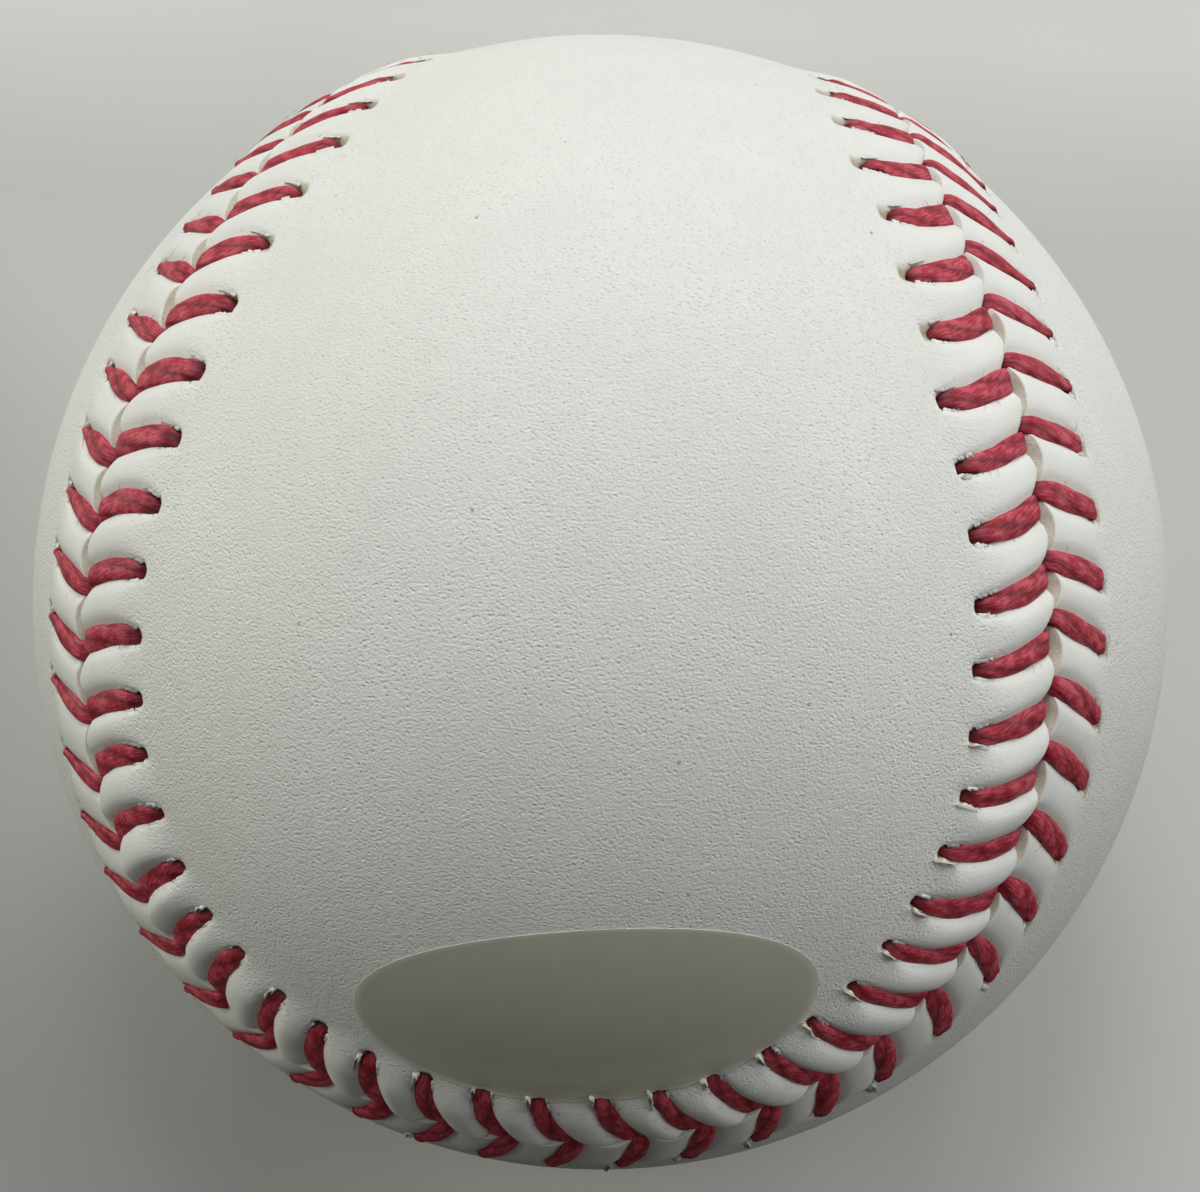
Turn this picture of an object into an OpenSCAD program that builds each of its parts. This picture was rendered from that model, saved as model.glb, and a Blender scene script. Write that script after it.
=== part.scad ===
// A baseball, taken apart layer by layer: a cork nucleus in rubber, four
// windings of yarn, and a cover of two figure-eight pieces of leather that are
// drawn together by a double row of thread. The origin is the ball's centre,
// and the cover leans so that one of its lobes faces up and towards -Y.

/* [Ball] */
// Diameter of the ball over its leather
ball_d = 74; // [73:0.1:76]
// How far the front lobe of the cover leans up from level, in degrees
lobe_tilt = 52; // [0:1:90]

/* [Core] */
// Diameter of the cork nucleus
cork_d = 20.6; // [19:0.1:22]
// Wall of the black rubber shells round the cork
black_rubber_t = 4; // [3:0.1:5]
// Thickness of the washer between the two black shells
gasket_t = 0.8; // [0.5:0.1:1.5]
// Wall of the red rubber shells round the black ones
red_rubber_t = 2.4; // [2:0.1:3]

/* [Windings] */
// Depth of the second winding, of white wool
second_winding_t = 1.8; // [1.2:0.1:2.5]
// Depth of the third winding, of grey wool
third_winding_t = 2.3; // [1.5:0.1:3]
// Depth of the finishing winding, of fine white yarn
finishing_winding_t = 0.5; // [0.4:0.05:1]
// Clearance between one layer and the next
layer_clear = 0.03; // [0.01:0.01:0.05]

/* [Cover] */
// Thickness of the leather
leather_t = 1.3; // [1.2:0.05:1.6]
// Depth pared off the leather's underside along the seam, where thread passes
paring_t = 0.5; // [0.5:0.02:0.56]
// Width of that pared margin
paring_w = 7.2; // [7:0.1:8]
// Gap between the two pieces of leather where they come closest
seam_gap = 0.4; // [0.2:0.05:0.6]
// How far the leather is drawn back at each stitch for the thread to dive
notch_depth = 0.75; // [0.7:0.05:0.9]

/* [Stitching] */
// Number of stitches round the seam
stitch_count = 108; // [104:4:112]
// Distance from the seam's middle to a stitch hole
stitch_reach = 5.7; // [5.4:0.1:6]
// How far a hole lies behind the place where its stitch dives
stitch_slant = 2.4; // [2.2:0.1:2.5]
// Width of the thread, pressed flat by its own pull
thread_w = 1.5; // [1.3:0.05:1.6]
// Height of the thread over the leather
thread_h = 0.8; // [0.6:0.05:0.9]
// Height of the thread where the leather holds it down
thread_under_h = 0.3; // [0.2:0.02:0.32]
// Clearance between the thread and what it lies on
thread_clear = 0.05; // [0.03:0.01:0.06]
// Width across the corners of a stitch hole
hole_d = 2; // [1.9:0.05:2.3]

/* [Label] */
// Length of the oval film label
label_l = 25.2; // [20:0.1:28]
// Width of the label
label_w = 12.8; // [10:0.1:13.2]
// Thickness of the label
label_t = 0.1; // [0.06:0.01:0.2]
// How far the label lies below the middle of its lobe, in degrees
label_drop = 44.8; // [43:0.1:45]
// How far it lies to the right, in degrees
label_right = 4.9; // [-10:0.1:10]
// How far its long axis turns up to the right, in degrees
label_turn = 7.6; // [-10:0.1:10]

/* [Hidden] */

$fn = 96;

// Radii, from the outside in for the cover and windings
ball_r = ball_d / 2;
finishing_r = ball_r - leather_t - layer_clear;
third_r = finishing_r - finishing_winding_t - layer_clear;
second_r = third_r - third_winding_t - layer_clear;
first_r = second_r - second_winding_t - layer_clear;
// and from the inside out for the core, so the first winding fills the rest
cork_r = cork_d / 2;
black_in_r = cork_r + layer_clear;
black_r = black_in_r + black_rubber_t;
red_in_r = black_r + layer_clear;
red_r = red_in_r + red_rubber_t;
first_in_r = red_r + layer_clear;

// The seam is a closed curve of waves round the ball. The first share sets how
// narrow the necks are and the second how square the lobes are.
neck_share = 0.3;
square_share = -0.042;
// Place of the first stitch, as a share of the stitch spacing
first_stitch_share = 0.384;
// Samples that measure a quarter of the seam, and the step for its direction
quarter_samples = 180;
tangent_step = 0.05;
stitches_per_quarter = stitch_count / 4;

// Where the leather's edge turns at each stitch: how far along the spacing from
// the stitch, and how much of the notch it has there
edge_shares = [[-0.29, 1], [0.29, 1], [0.4, 0], [0.6, 0]];
// Places along the seam that shape the pared margin, for each stitch
margin_shares = [[0, 0]];
// A cutter reaches this many times the ball's radius
cutter_reach_share = 1.4;
// The middle line of a cutter runs between these angles, in this many points
spine_low = -35;
spine_high = 215;
spine_points = 21;

// How far apart the two threads dive, each way from the stitch's middle, as a
// share of the spacing
dive_share = 0.14;
// The rings of one stitch, from under the leather at its hole to under the
// leather across the seam. Shares of stitch_reach across the seam, of the way
// from hole to dive, of the thread's width and height, and whether it is on top
ring_shares = [
    [1, 0, 0.7, 0, 0],
    [0.9, 0.08, 0.85, 0.95, 1],
    [0.52, 0.5, 1, 1, 1],
    [0.17, 1, 0.72, 0.85, 1],
    [-0.07, 1.05, 0.55, 0, 0]
];
thread_sides = 6;
// A straight run of thread under the leather lies this much lower at its middle
thread_sag = stitch_reach * stitch_reach / (8 * ball_r);
// How far inside the seam the middle of a stitch hole lies, as a share
hole_reach_share = 0.97;
hole_sides = 6;
// Overlap of pieces that are joined, and overrun of a cut
join = 0.3;
overrun = 1;
label_points = 60;

function unit(v) = v / norm(v);

// Direction of the seam from the ball's centre, at a turn t in degrees
function seam_dir(t) =
    let (wide_share = 1 - neck_share)
    unit([
        wide_share * cos(t) + neck_share * cos(3 * t) + square_share * cos(5 * t),
        wide_share * sin(t) - neck_share * sin(3 * t) + square_share * sin(5 * t),
        2 * sqrt(wide_share * neck_share) * sin(2 * t)
    ]);

// Length along the first quarter of the seam against the turn
function quarter_turn(i) = i * 90 / quarter_samples;
quarter_table = [
    for (
        i = 0, s = 0;
        i <= quarter_samples;
        s = s + norm(seam_dir(quarter_turn(i + 1)) - seam_dir(quarter_turn(i))), i = i + 1
    )
        [s, quarter_turn(i)]
];
quarter_length = quarter_table[quarter_samples][0];

// Distance between stitches along the seam
stitch_pitch = quarter_length * ball_r / stitches_per_quarter;

// The turn at u stitch spacings along the seam
function seam_turn(u) =
    let (quarter = floor(u / stitches_per_quarter))
    let (rest = u / stitches_per_quarter - quarter)
    90 * quarter + lookup(rest * quarter_length, quarter_table);

// A point at radius r, u spacings along the seam and some way across it.
// Across is positive towards the front piece of the cover.
function seam_point(u, across, r) =
    let (t = seam_turn(u))
    let (out = seam_dir(t))
    let (along = unit(seam_dir(t + tangent_step) - seam_dir(t - tangent_step)))
    let (side = unit(cross(out, along)))
    let (w = across / ball_r * 180 / PI)
    r * (out * cos(w) + side * sin(w));

// Direction along the seam there
function seam_along(u) =
    let (t = seam_turn(u))
    unit(seam_dir(t + tangent_step) - seam_dir(t - tangent_step));

function stitch_place(i) = i + first_stitch_share;

// The edge of a piece of leather: places along the seam and across it
function leather_edge(side) = [
    for (i = [0:stitch_count - 1])
        for (e = edge_shares)
            [stitch_place(i) + e[0], side * (seam_gap / 2 + e[1] * notch_depth)]
];

function margin_edge(side) = [
    for (i = [0:stitch_count - 1])
        for (e = margin_shares)
            [stitch_place(i) + e[0], side * paring_w]
];

// The lobe and the neck of a piece of leather, as directions
function lobe_dir(side) = unit([1, -side, 0]);
function neck_dir(side) = [0, 0, side];

// A point on the middle line of a piece, at an angle from its lobe
function spine_dir(side, a) = lobe_dir(side) * cos(a) + neck_dir(side) * sin(a);

// The point of the middle line that a point of the edge is joined to
function spine_index(side, p) =
    let (raw = atan2(p * neck_dir(side), p * lobe_dir(side)))
    let (a = raw < -90 ? raw + 360 : raw)
    let (kept = min(max(a, spine_low), spine_high))
    round((kept - spine_low) / (spine_high - spine_low) * (spine_points - 1));

// Everything on one side of an edge, as a many-sided cone from the centre
module seam_cone(side, edge) {
    reach = ball_r * cutter_reach_share;
    count = len(edge);
    rim = [for (e = edge) seam_point(e[0], e[1], reach)];
    spine = [
        for (k = [0:spine_points - 1])
            let (a = spine_low + k * (spine_high - spine_low) / (spine_points - 1))
            reach * spine_dir(side, a)
    ];
    joined = [for (p = rim) count + 1 + spine_index(side, p)];
    walls = [for (k = [0:count - 1]) [0, k + 1, (k + 1) % count + 1]];
    fan = [for (k = [0:count - 1]) [(k + 1) % count + 1, k + 1, joined[k]]];
    steps = [
        for (k = [0:count - 1])
            let (next = (k + 1) % count)
            if (joined[k] != joined[next])
                [next + 1, joined[k], joined[next]]
    ];
    faces = concat(walls, fan, steps);
    turned = [for (f = faces) [f[0], f[2], f[1]]];
    polyhedron(points = concat([[0, 0, 0]], rim, spine), faces = side > 0 ? faces : turned);
}

// Turns the cover from the seam's own axes to the way the ball lies
module as_it_lies() {
    rotate([-lobe_tilt, 0, 0])
        rotate([0, 0, -45])
            children();
}

module hollow_ball(outer_r, inner_r) {
    difference() {
        sphere(r = outer_r);
        sphere(r = inner_r);
    }
}

// The part of its children above a height
module above(height, reach) {
    intersection() {
        children();
        translate([0, 0, height])
            cylinder(r = reach + overrun, h = reach + overrun);
    }
}

module half_shell(outer_r, inner_r, base) {
    above(base, outer_r)
        hollow_ball(outer_r, inner_r);
}

module stitch_hole(i, side) {
    place = stitch_place(i) - stitch_slant / stitch_pitch;
    p = seam_point(place, side * stitch_reach * hole_reach_share, ball_r);
    turn = acos(p[2] / norm(p));
    around = atan2(p[1], p[0]);
    rotate([0, turn, around])
        translate([0, 0, ball_r - leather_t - overrun])
            cylinder(d = hole_d, h = leather_t + 2 * overrun, $fn = hole_sides);
}

// A figure-eight piece of leather, with notches at the stitches along its edge,
// a pared margin under them and its row of stitch holes
module cover_piece(side) {
    as_it_lies()
        difference() {
            union() {
                intersection() {
                    hollow_ball(ball_r, ball_r - leather_t + paring_t);
                    seam_cone(side, leather_edge(side));
                }
                intersection() {
                    hollow_ball(ball_r - leather_t + paring_t + join, ball_r - leather_t);
                    seam_cone(side, margin_edge(side));
                }
            }
            for (i = [0:stitch_count - 1])
                stitch_hole(i, side);
        }
}

// The middle of a thread ring, its width and its height
function thread_ring(i, side, shares) =
    let (hole = stitch_place(i) - stitch_slant / stitch_pitch)
    let (dive = stitch_place(i) - side * dive_share)
    let (on_top = shares[4])
    let (h = on_top > 0 ? thread_h * shares[3] : thread_under_h)
    let (bed_r = on_top > 0 ? ball_r : finishing_r + thread_sag)
    [
        seam_point(
            hole + (dive - hole) * shares[1],
            side * stitch_reach * shares[0],
            bed_r + thread_clear + h / 2
        ),
        thread_w * shares[2],
        h,
        seam_along(hole)
    ];

// One thread, which crosses the seam under the leather after each stitch and
// so shows on either side in turn
module thread_strand(first_side) {
    rings = [
        for (i = [0:stitch_count - 1])
            for (shares = ring_shares)
                thread_ring(i, i % 2 == 0 ? first_side : -first_side, shares)
    ];
    last = len(rings) - 1;
    points = [
        for (k = [0:last])
            let (before = rings[max(k - 1, 0)][0])
            let (after = rings[min(k + 1, last)][0])
            let (here = rings[k][0])
            let (in_dir = k == 0 ? unit(after - here) : unit(here - before))
            let (out_dir = k == last ? unit(here - before) : unit(after - here))
            let (course = unit(in_dir + out_dir))
            let (wide = unit(rings[k][3] - (rings[k][3] * course) * course))
            let (high = cross(course, wide))
            for (j = [0:thread_sides - 1])
                let (a = (j + 0.5) * 360 / thread_sides)
                here + wide * cos(a) * rings[k][1] / 2 + high * sin(a) * rings[k][2] / 2
    ];
    sides = [
        for (k = [0:last - 1])
            for (j = [0:thread_sides - 1])
                let (a = k * thread_sides + j)
                let (b = k * thread_sides + (j + 1) % thread_sides)
                for (f = [[a, b + thread_sides, b], [a, a + thread_sides, b + thread_sides]])
                    f
    ];
    start_cap = [for (j = [0:thread_sides - 1]) j];
    end_cap = [for (j = [thread_sides - 1:-1:0]) last * thread_sides + j];
    as_it_lies()
        polyhedron(points = points, faces = concat(sides, [start_cap, end_cap]));
}

module cork_nucleus() {
    color("burlywood")
        sphere(r = cork_r);
}

module black_shell_upper() {
    color("dimgray")
        half_shell(black_r, black_in_r, gasket_t / 2 + layer_clear);
}

module black_shell_lower() {
    color("dimgray")
        mirror([0, 0, 1])
            half_shell(black_r, black_in_r, gasket_t / 2 + layer_clear);
}

module shell_gasket() {
    color("firebrick")
        translate([0, 0, -gasket_t / 2])
            difference() {
                cylinder(r = black_r - layer_clear, h = gasket_t);
                translate([0, 0, -overrun])
                    cylinder(r = black_in_r, h = gasket_t + 2 * overrun);
            }
}

module red_shell_upper() {
    color("brown")
        half_shell(red_r, red_in_r, layer_clear / 2);
}

module red_shell_lower() {
    color("brown")
        mirror([0, 0, 1])
            half_shell(red_r, red_in_r, layer_clear / 2);
}

module first_winding() {
    color("slategray")
        hollow_ball(first_r, first_in_r);
}

module second_winding() {
    color("ivory")
        hollow_ball(second_r, first_r + layer_clear);
}

module third_winding() {
    color("gray")
        hollow_ball(third_r, second_r + layer_clear);
}

module finishing_winding() {
    color("white")
        hollow_ball(finishing_r, third_r + layer_clear);
}

module cover_front() {
    color("whitesmoke")
        cover_piece(1);
}

module cover_back() {
    color("whitesmoke")
        cover_piece(-1);
}

module thread_left_needle() {
    color("crimson")
        thread_strand(1);
}

module thread_right_needle() {
    color("crimson")
        thread_strand(-1);
}

// An oval of clear film that follows the leather
module label() {
    oval = [
        for (k = [0:label_points - 1])
            let (a = k * 360 / label_points)
            [label_l / 2 * cos(a), label_w / 2 * sin(a)]
    ];
    color("gainsboro")
        intersection() {
            hollow_ball(ball_r + layer_clear + label_t, ball_r + layer_clear);
            rotate([90 - lobe_tilt + label_drop, 0, 0])
                rotate([0, label_right, 0])
                    rotate([0, 0, label_turn])
                        linear_extrude(height = ball_r + label_t + overrun)
                            polygon(oval);
        }
}

cork_nucleus();
black_shell_lower();
black_shell_upper();
shell_gasket();
red_shell_lower();
red_shell_upper();
first_winding();
second_winding();
third_winding();
finishing_winding();
cover_front();
cover_back();
thread_left_needle();
thread_right_needle();
label();
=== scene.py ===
"""Looks of a sewn leather baseball: its cover, thread, label, layers and studio.

Lengths are in metres where nothing else is said. Values whose names end in _mm
are in millimetres, and angles whose names end in _deg are in degrees.
"""

import logging
import math
from dataclasses import dataclass, field
from enum import Enum
from typing import Any, Dict, List, Optional, Sequence, Tuple

import bpy
import numpy as np
from mathutils import Matrix, Vector


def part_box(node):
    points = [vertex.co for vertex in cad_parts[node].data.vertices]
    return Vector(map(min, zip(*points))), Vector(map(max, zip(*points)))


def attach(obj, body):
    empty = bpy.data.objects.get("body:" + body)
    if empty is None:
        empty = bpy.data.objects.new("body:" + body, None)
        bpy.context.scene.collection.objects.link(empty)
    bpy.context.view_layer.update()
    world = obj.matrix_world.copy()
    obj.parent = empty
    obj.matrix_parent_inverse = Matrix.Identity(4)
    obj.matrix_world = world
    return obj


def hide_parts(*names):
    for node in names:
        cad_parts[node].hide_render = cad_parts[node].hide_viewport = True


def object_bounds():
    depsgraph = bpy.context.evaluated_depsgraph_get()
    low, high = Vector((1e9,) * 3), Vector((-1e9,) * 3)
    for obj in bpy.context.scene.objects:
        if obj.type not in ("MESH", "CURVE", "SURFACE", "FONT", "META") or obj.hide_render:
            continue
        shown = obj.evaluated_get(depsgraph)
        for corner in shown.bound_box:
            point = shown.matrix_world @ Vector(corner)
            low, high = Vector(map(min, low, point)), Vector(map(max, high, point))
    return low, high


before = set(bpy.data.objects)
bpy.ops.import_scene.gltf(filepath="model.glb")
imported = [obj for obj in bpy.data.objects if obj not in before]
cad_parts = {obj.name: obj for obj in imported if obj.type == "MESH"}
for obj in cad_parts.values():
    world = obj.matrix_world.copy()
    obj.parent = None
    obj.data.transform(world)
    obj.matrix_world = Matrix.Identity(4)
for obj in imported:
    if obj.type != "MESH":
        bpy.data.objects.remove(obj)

Colour = Tuple[float, float, float, float]
Faces = List[Tuple[int, ...]]
Span = Tuple[float, float]
Triple = Tuple[float, float, float]
Material = bpy.types.Material
Piece = bpy.types.Object
Socket = bpy.types.NodeSocket
Tree = bpy.types.NodeTree

LOG = logging.getLogger("baseball")
MM = 0.001
BODY = "root"
CAD_BOX = [list(corner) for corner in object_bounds()]

# How the seam runs and how the ball lies, as in the construction.
NECK_SHARE = 0.3
SQUARE_SHARE = -0.042
FIRST_STITCH_SHARE = 0.384
STITCH_COUNT = 108
LOBE_TILT_DEG = 52.0
LOBE_TURN_DEG = 45.0
LEATHER_MM = 1.25

# How near points of a piece lie that become one.
COVER_WELD_MM = 0.002
FINE_WELD_MM = 0.0005

# How the sewing varies round the seam: stitch, drift, slant, further, early, end, gape, torn.
FRONT_HABITS = (
    (0, -0.35, 0.0, 0.0, 0.14, 0.42, 0.0, 0.4), (3, -0.8, 0.0, 0.0, 0.16, 0.45, 0.0, 0.2),
    (4, -0.9, 0.0, 0.1, 0.5, 0.5, 0.0, 0.0), (9, -1.0, 0.0, 0.2, 0.75, 0.45, 0.0, 0.0),
    (20, 0.0, 0.0, 0.0, 0.1, 0.5, 0.0, 0.3), (64, 0.0, 0.0, 0.0, 0.3, 0.45, 0.0, 0.2),
    (70, 0.0, 0.0, 0.1, 0.6, 0.4, 0.0, 0.0), (76, 0.0, 0.0, 0.1, 0.5, 0.4, 0.0, 0.0),
    (79, 0.0, 0.0, 0.0, 0.05, 0.5, 0.0, 0.1), (84, -0.1, 0.0, 0.0, 0.16, 0.5, 0.0, 0.15),
    (88, -0.15, 0.0, 0.25, 0.2, 0.55, 0.0, 0.5), (92, -0.15, 0.0, 0.2, 0.2, 0.5, 0.0, 0.9),
    (98, 0.1, 0.0, 0.2, 0.16, 0.45, 0.0, 1.0), (100, 0.6, 0.0, 0.6, 0.14, 0.42, 0.0, 1.0),
    (103, 0.4, 0.0, 0.5, 0.14, 0.4, 0.0, 1.0), (105, 0.1, 0.0, 0.0, 0.14, 0.4, 0.0, 0.9))
BACK_HABITS = (
    (0, -0.45, 0.5, 0.0, 0.5, 0.65, 0.34, 0.3), (2, -0.5, 0.0, 0.0, 0.45, 0.6, 0.26, 0.3),
    (3, -0.6, 0.1, 0.0, 0.3, 0.4, 0.12, 0.1), (4, -0.6, 0.2, 0.0, 0.2, 0.2, 0.0, 0.0),
    (9, -0.6, 0.3, 0.0, 0.2, 0.12, 0.0, 0.0), (20, -0.4, 0.2, 0.0, 0.3, 0.5, 0.3, 0.2),
    (34, -0.4, 0.2, 0.0, 0.3, 0.5, 0.3, 0.2), (42, -0.4, 0.0, 0.0, 0.2, 0.6, 0.0, 0.3),
    (52, -0.4, 0.0, 0.0, 0.2, 0.6, 0.0, 0.3), (58, -0.2, 0.3, 0.0, 0.3, 0.6, 0.4, 0.2),
    (66, -0.3, 0.2, 0.0, 0.3, 0.6, 0.3, 0.2), (70, -0.3, 0.0, 0.0, 0.2, 0.6, 0.0, 0.2),
    (74, -0.3, 0.0, 0.0, 0.3, 0.4, 0.16, 0.2), (78, -0.3, 0.35, 0.2, 0.45, 0.14, 0.32, 0.1),
    (85, -0.4, 0.35, 0.2, 0.45, 0.12, 0.32, 0.1), (88, -0.65, 0.4, 0.5, 0.3, 0.2, 0.0, 0.1),
    (92, -0.65, 0.6, 0.5, 0.1, 0.45, 0.0, 0.2), (99, -0.6, 0.85, 0.2, 0.1, 0.6, 0.0, 0.8),
    (102, -0.1, 1.5, 0.1, 0.3, 0.6, 0.08, 0.6), (104, 0.3, 1.6, 0.0, 0.45, 0.6, 0.26, 0.5),
    (106, 0.3, 1.6, 0.0, 0.5, 0.6, 0.34, 0.3), (107, 0.0, 1.05, 0.0, 0.5, 0.65, 0.34, 0.3))

# Width of a leg that ends blunt and of one that ends in a point, as shares of the full
# width, at shares of the way from the seam to where the thread goes in.
WIDTH_AT = (-0.1, 0.0, 0.2, 0.45, 0.68, 0.82, 0.93, 1.02)
BLUNT_LEG = (0.66, 0.72, 0.93, 1.0, 0.98, 0.95, 0.85, 0.7)
POINTED_LEG = (0.66, 0.74, 0.92, 0.88, 0.66, 0.45, 0.26, 0.12)

# A leg's middle from inside its hole to inside the gap: shares of the way that it sinks over,
# shares of its reach, steps from where it dives, and the height over its bed at each of them.
SINK_SHARES = np.array([-0.09, 0.02, 0.14, 0.42, 0.9])
REACH_SHARES = np.array([0.48, 0.25])
DIVE_STEPS_MM = np.array([0.5, 0.08, -0.2])
LEG_HEIGHTS_MM = np.array([-1.0, -0.42, -0.06, 0.12, 0.21, 0.24, 0.25, 0.21, -0.3, -1.1])

# A height above LAID_MM counts from the puffed leather, and a lower one from the plain bed.
LAID_MM = 0.15
PLAIN_BED_MM = 0.05

# Outlines of torn leather, as rows of distance along the slit, distance in over the thread
# and lift. A flake is a sliver over the thread, and a flap is a lip that lies back.
FLAKE = np.array([(-1.0, 0.0, 0.0), (1.0, 0.0, 0.0), (0.9, 0.5, 0.2), (0.3, 1.0, 0.5),
                  (0.05, 0.5, 0.2), (-0.25, 0.45, 0.2), (-0.5, 0.9, 0.6), (-0.95, 0.35, 0.1)])
FLAP = np.array([(-0.95, 0.05, 0.2), (-0.4, -0.05, 0.9), (0.15, 0.05, 0.6), (0.6, -0.05, 1.0),
                 (1.05, 0.3, 0.5), (0.6, 0.85, -0.1), (0.0, 1.0, -0.1), (-0.6, 0.7, -0.1)])


class Side(Enum):
    """The two pieces of the cover, by the sign of the way across the seam."""

    FRONT = 1
    BACK = -1


def linear(hex_colour: str) -> Colour:
    """Turn an sRGB hex colour to linear light.

    Args:
        hex_colour: Six hex digits, such as "b02a3c".

    Returns:
        Red, green, blue and full alpha for a shader socket.
    """
    parts = [int(hex_colour[i:i + 2], 16) / 255 for i in (0, 2, 4)]
    red, green, blue = (p / 12.92 if p <= 0.04045 else ((p + 0.055) / 1.055) ** 2.4 for p in parts)
    return (red, green, blue, 1.0)


def grey(value: float) -> Colour:
    """Give a grey of one linear value."""
    return (value, value, value, 1.0)


def per(size_mm: float) -> float:
    """Scale of a pattern whose features are of a size in millimetres."""
    return 1 / (size_mm * MM)


def add_node(tree: Tree, kind: str, inputs: Optional[Dict[Any, Any]] = None, out: Any = 0,
             stops: Sequence[Tuple[float, Colour]] = (), **settings: Any) -> Optional[Socket]:
    """Add a shader node, set it up and link it.

    Args:
        tree: The node tree that gets the node.
        kind: The node's type name, without its first word.
        inputs: Socket name or index against a value, or an output to link from.
        out: Name or index of the output that is wanted.
        stops: A colour ramp's places and colours.
        **settings: Attributes of the node itself.

    Returns:
        The wanted output, or nothing from a node that has none.
    """
    node = tree.nodes.new("ShaderNode" + kind)
    for key, value in settings.items():
        setattr(node, key, value)
    for key, value in (inputs or {}).items():
        if isinstance(value, Socket):
            tree.links.new(value, node.inputs[key])
        else:
            node.inputs[key].default_value = value
    if stops:
        band = node.color_ramp.elements
        while len(band) < len(stops):
            band.new(0.5)
        for element, (place, colour) in zip(band, stops):
            element.position = place
            element.color = colour
    return node.outputs[out] if len(node.outputs) else None


def new_material(name: str) -> Tuple[Material, Tree, Socket]:
    """Make a node material.

    Args:
        name: The real material's name.

    Returns:
        The material, its tree, and the Object coordinates that its patterns read.
    """
    material = bpy.data.materials.new(name)
    material.use_nodes = True
    tree = material.node_tree
    tree.nodes.clear()
    return material, tree, add_node(tree, "TexCoord", out="Object")


@dataclass(frozen=True)
class TawedLeather:
    """Alum-tawed white cowhide, full grain, pressed with fine pits."""

    face: str = "e9eae4"
    pit: str = "a9aaa0"
    flesh: str = "aba084"
    speck: str = "6e6c62"
    pit_mm: float = 0.23
    grain_mm: float = 0.14
    mottle_mm: float = 7.0
    fold_mm: float = 1.3
    speck_apart_mm: float = 4.2
    pit_tone: float = 0.24
    roughness: float = 0.52

    def make(self) -> Material:
        """Build the material: a satin white skin with dark pits that fade where it is stretched.

        Returns:
            The material.
        """
        material, tree, place = new_material("alum-tawed cowhide")
        stretch = add_node(tree, "Attribute", out="Fac", attribute_name="grain")
        patch = add_node(tree, "TexNoise", {
            "Vector": place, "Scale": per(self.mottle_mm), "Detail": 3.0, "Roughness": 0.6}, "Fac")
        # A pit at each cell's middle, which the eye reads as a fine grey dot.
        drawn = add_node(tree, "Mapping", {"Vector": place, "Scale": (0.8, 1.0, 1.0)})
        cells = add_node(tree, "TexVoronoi", {
            "Vector": drawn, "Scale": per(self.pit_mm), "Randomness": 1.0}, "Distance")
        pit = add_node(tree, "MapRange", {
            "Value": cells, "From Min": 0.1, "From Max": 0.46, "To Min": 1.0, "To Max": 0.0},
            interpolation_type="SMOOTHSTEP")
        deep = add_node(tree, "MapRange", {
            "Value": cells.node.outputs["Color"], "From Min": 0.15, "From Max": 0.85, "To Min": 0.35,
            "To Max": 1.0})
        worn = add_node(tree, "MapRange", {
            "Value": patch, "From Min": 0.35, "From Max": 0.65, "To Min": 0.6, "To Max": 1.0})
        fade = add_node(tree, "MapRange", {"Value": stretch, "To Min": 0.22})
        for factor in (deep, worn, fade):
            pit = add_node(tree, "Math", {0: pit, 1: factor}, operation="MULTIPLY")
        weight = add_node(tree, "Math", {0: pit, 1: self.pit_tone}, operation="MULTIPLY")
        tone = add_node(tree, "Mix", {
            "Factor": weight, 6: linear(self.face), 7: linear(self.pit)}, 2, data_type="RGBA")
        # The raised grain between the pits, which catches the light.
        grain = add_node(tree, "TexNoise", {
            "Vector": drawn, "Scale": per(self.grain_mm), "Detail": 2.0, "Roughness": 0.6}, "Fac")
        grain = add_node(tree, "Math", {0: grain, 1: fade}, operation="MULTIPLY")
        relief = add_node(tree, "Math", {0: pit, 1: -0.55, 2: grain}, operation="MULTIPLY_ADD")
        cloud = add_node(tree, "ValToRGB", {0: patch}, stops=[(0.3, grey(0.95)), (0.7, grey(1.0))])
        tone = add_node(tree, "Mix", {"Factor": 1.0, 6: tone, 7: cloud}, 2, data_type="RGBA",
                        blend_type="MULTIPLY")
        # A handful of dark hair pores and bits of dust on the whole hide.
        dust = add_node(tree, "TexVoronoi", {
            "Vector": place, "Scale": per(self.speck_apart_mm), "Randomness": 1.0}, "Distance")
        dust = add_node(tree, "MapRange", {
            "Value": dust, "From Min": 0.018, "From Max": 0.03, "To Min": 0.6, "To Max": 0.0})
        tone = add_node(tree, "Mix", {"Factor": dust, 6: tone, 7: linear(self.speck)}, 2,
                        data_type="RGBA")
        # Inside the slits the skin is cut through to its tan flesh.
        raw = add_node(tree, "Attribute", out="Fac", attribute_name="raw")
        tone = add_node(tree, "Mix", {"Factor": raw, 6: tone, 7: linear(self.flesh)}, 2,
                        data_type="RGBA")
        fold = add_node(tree, "TexNoise", {
            "Vector": place, "Scale": per(self.fold_mm), "Detail": 3.0, "Roughness": 0.55}, "Fac")
        bump = add_node(tree, "Bump", {"Strength": 0.2, "Distance": 0.12 * MM, "Height": fold})
        bump = add_node(tree, "Bump", {
            "Strength": 0.9, "Distance": 0.078 * MM, "Height": relief, "Normal": bump})
        skin = add_node(tree, "BsdfPrincipled", {
            "Base Color": tone, "Roughness": self.roughness, "Normal": bump, "Specular IOR Level": 0.25,
            "Sheen Weight": 0.03, "Sheen Roughness": 0.5})
        add_node(tree, "OutputMaterial", {"Surface": skin})
        return material


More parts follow.
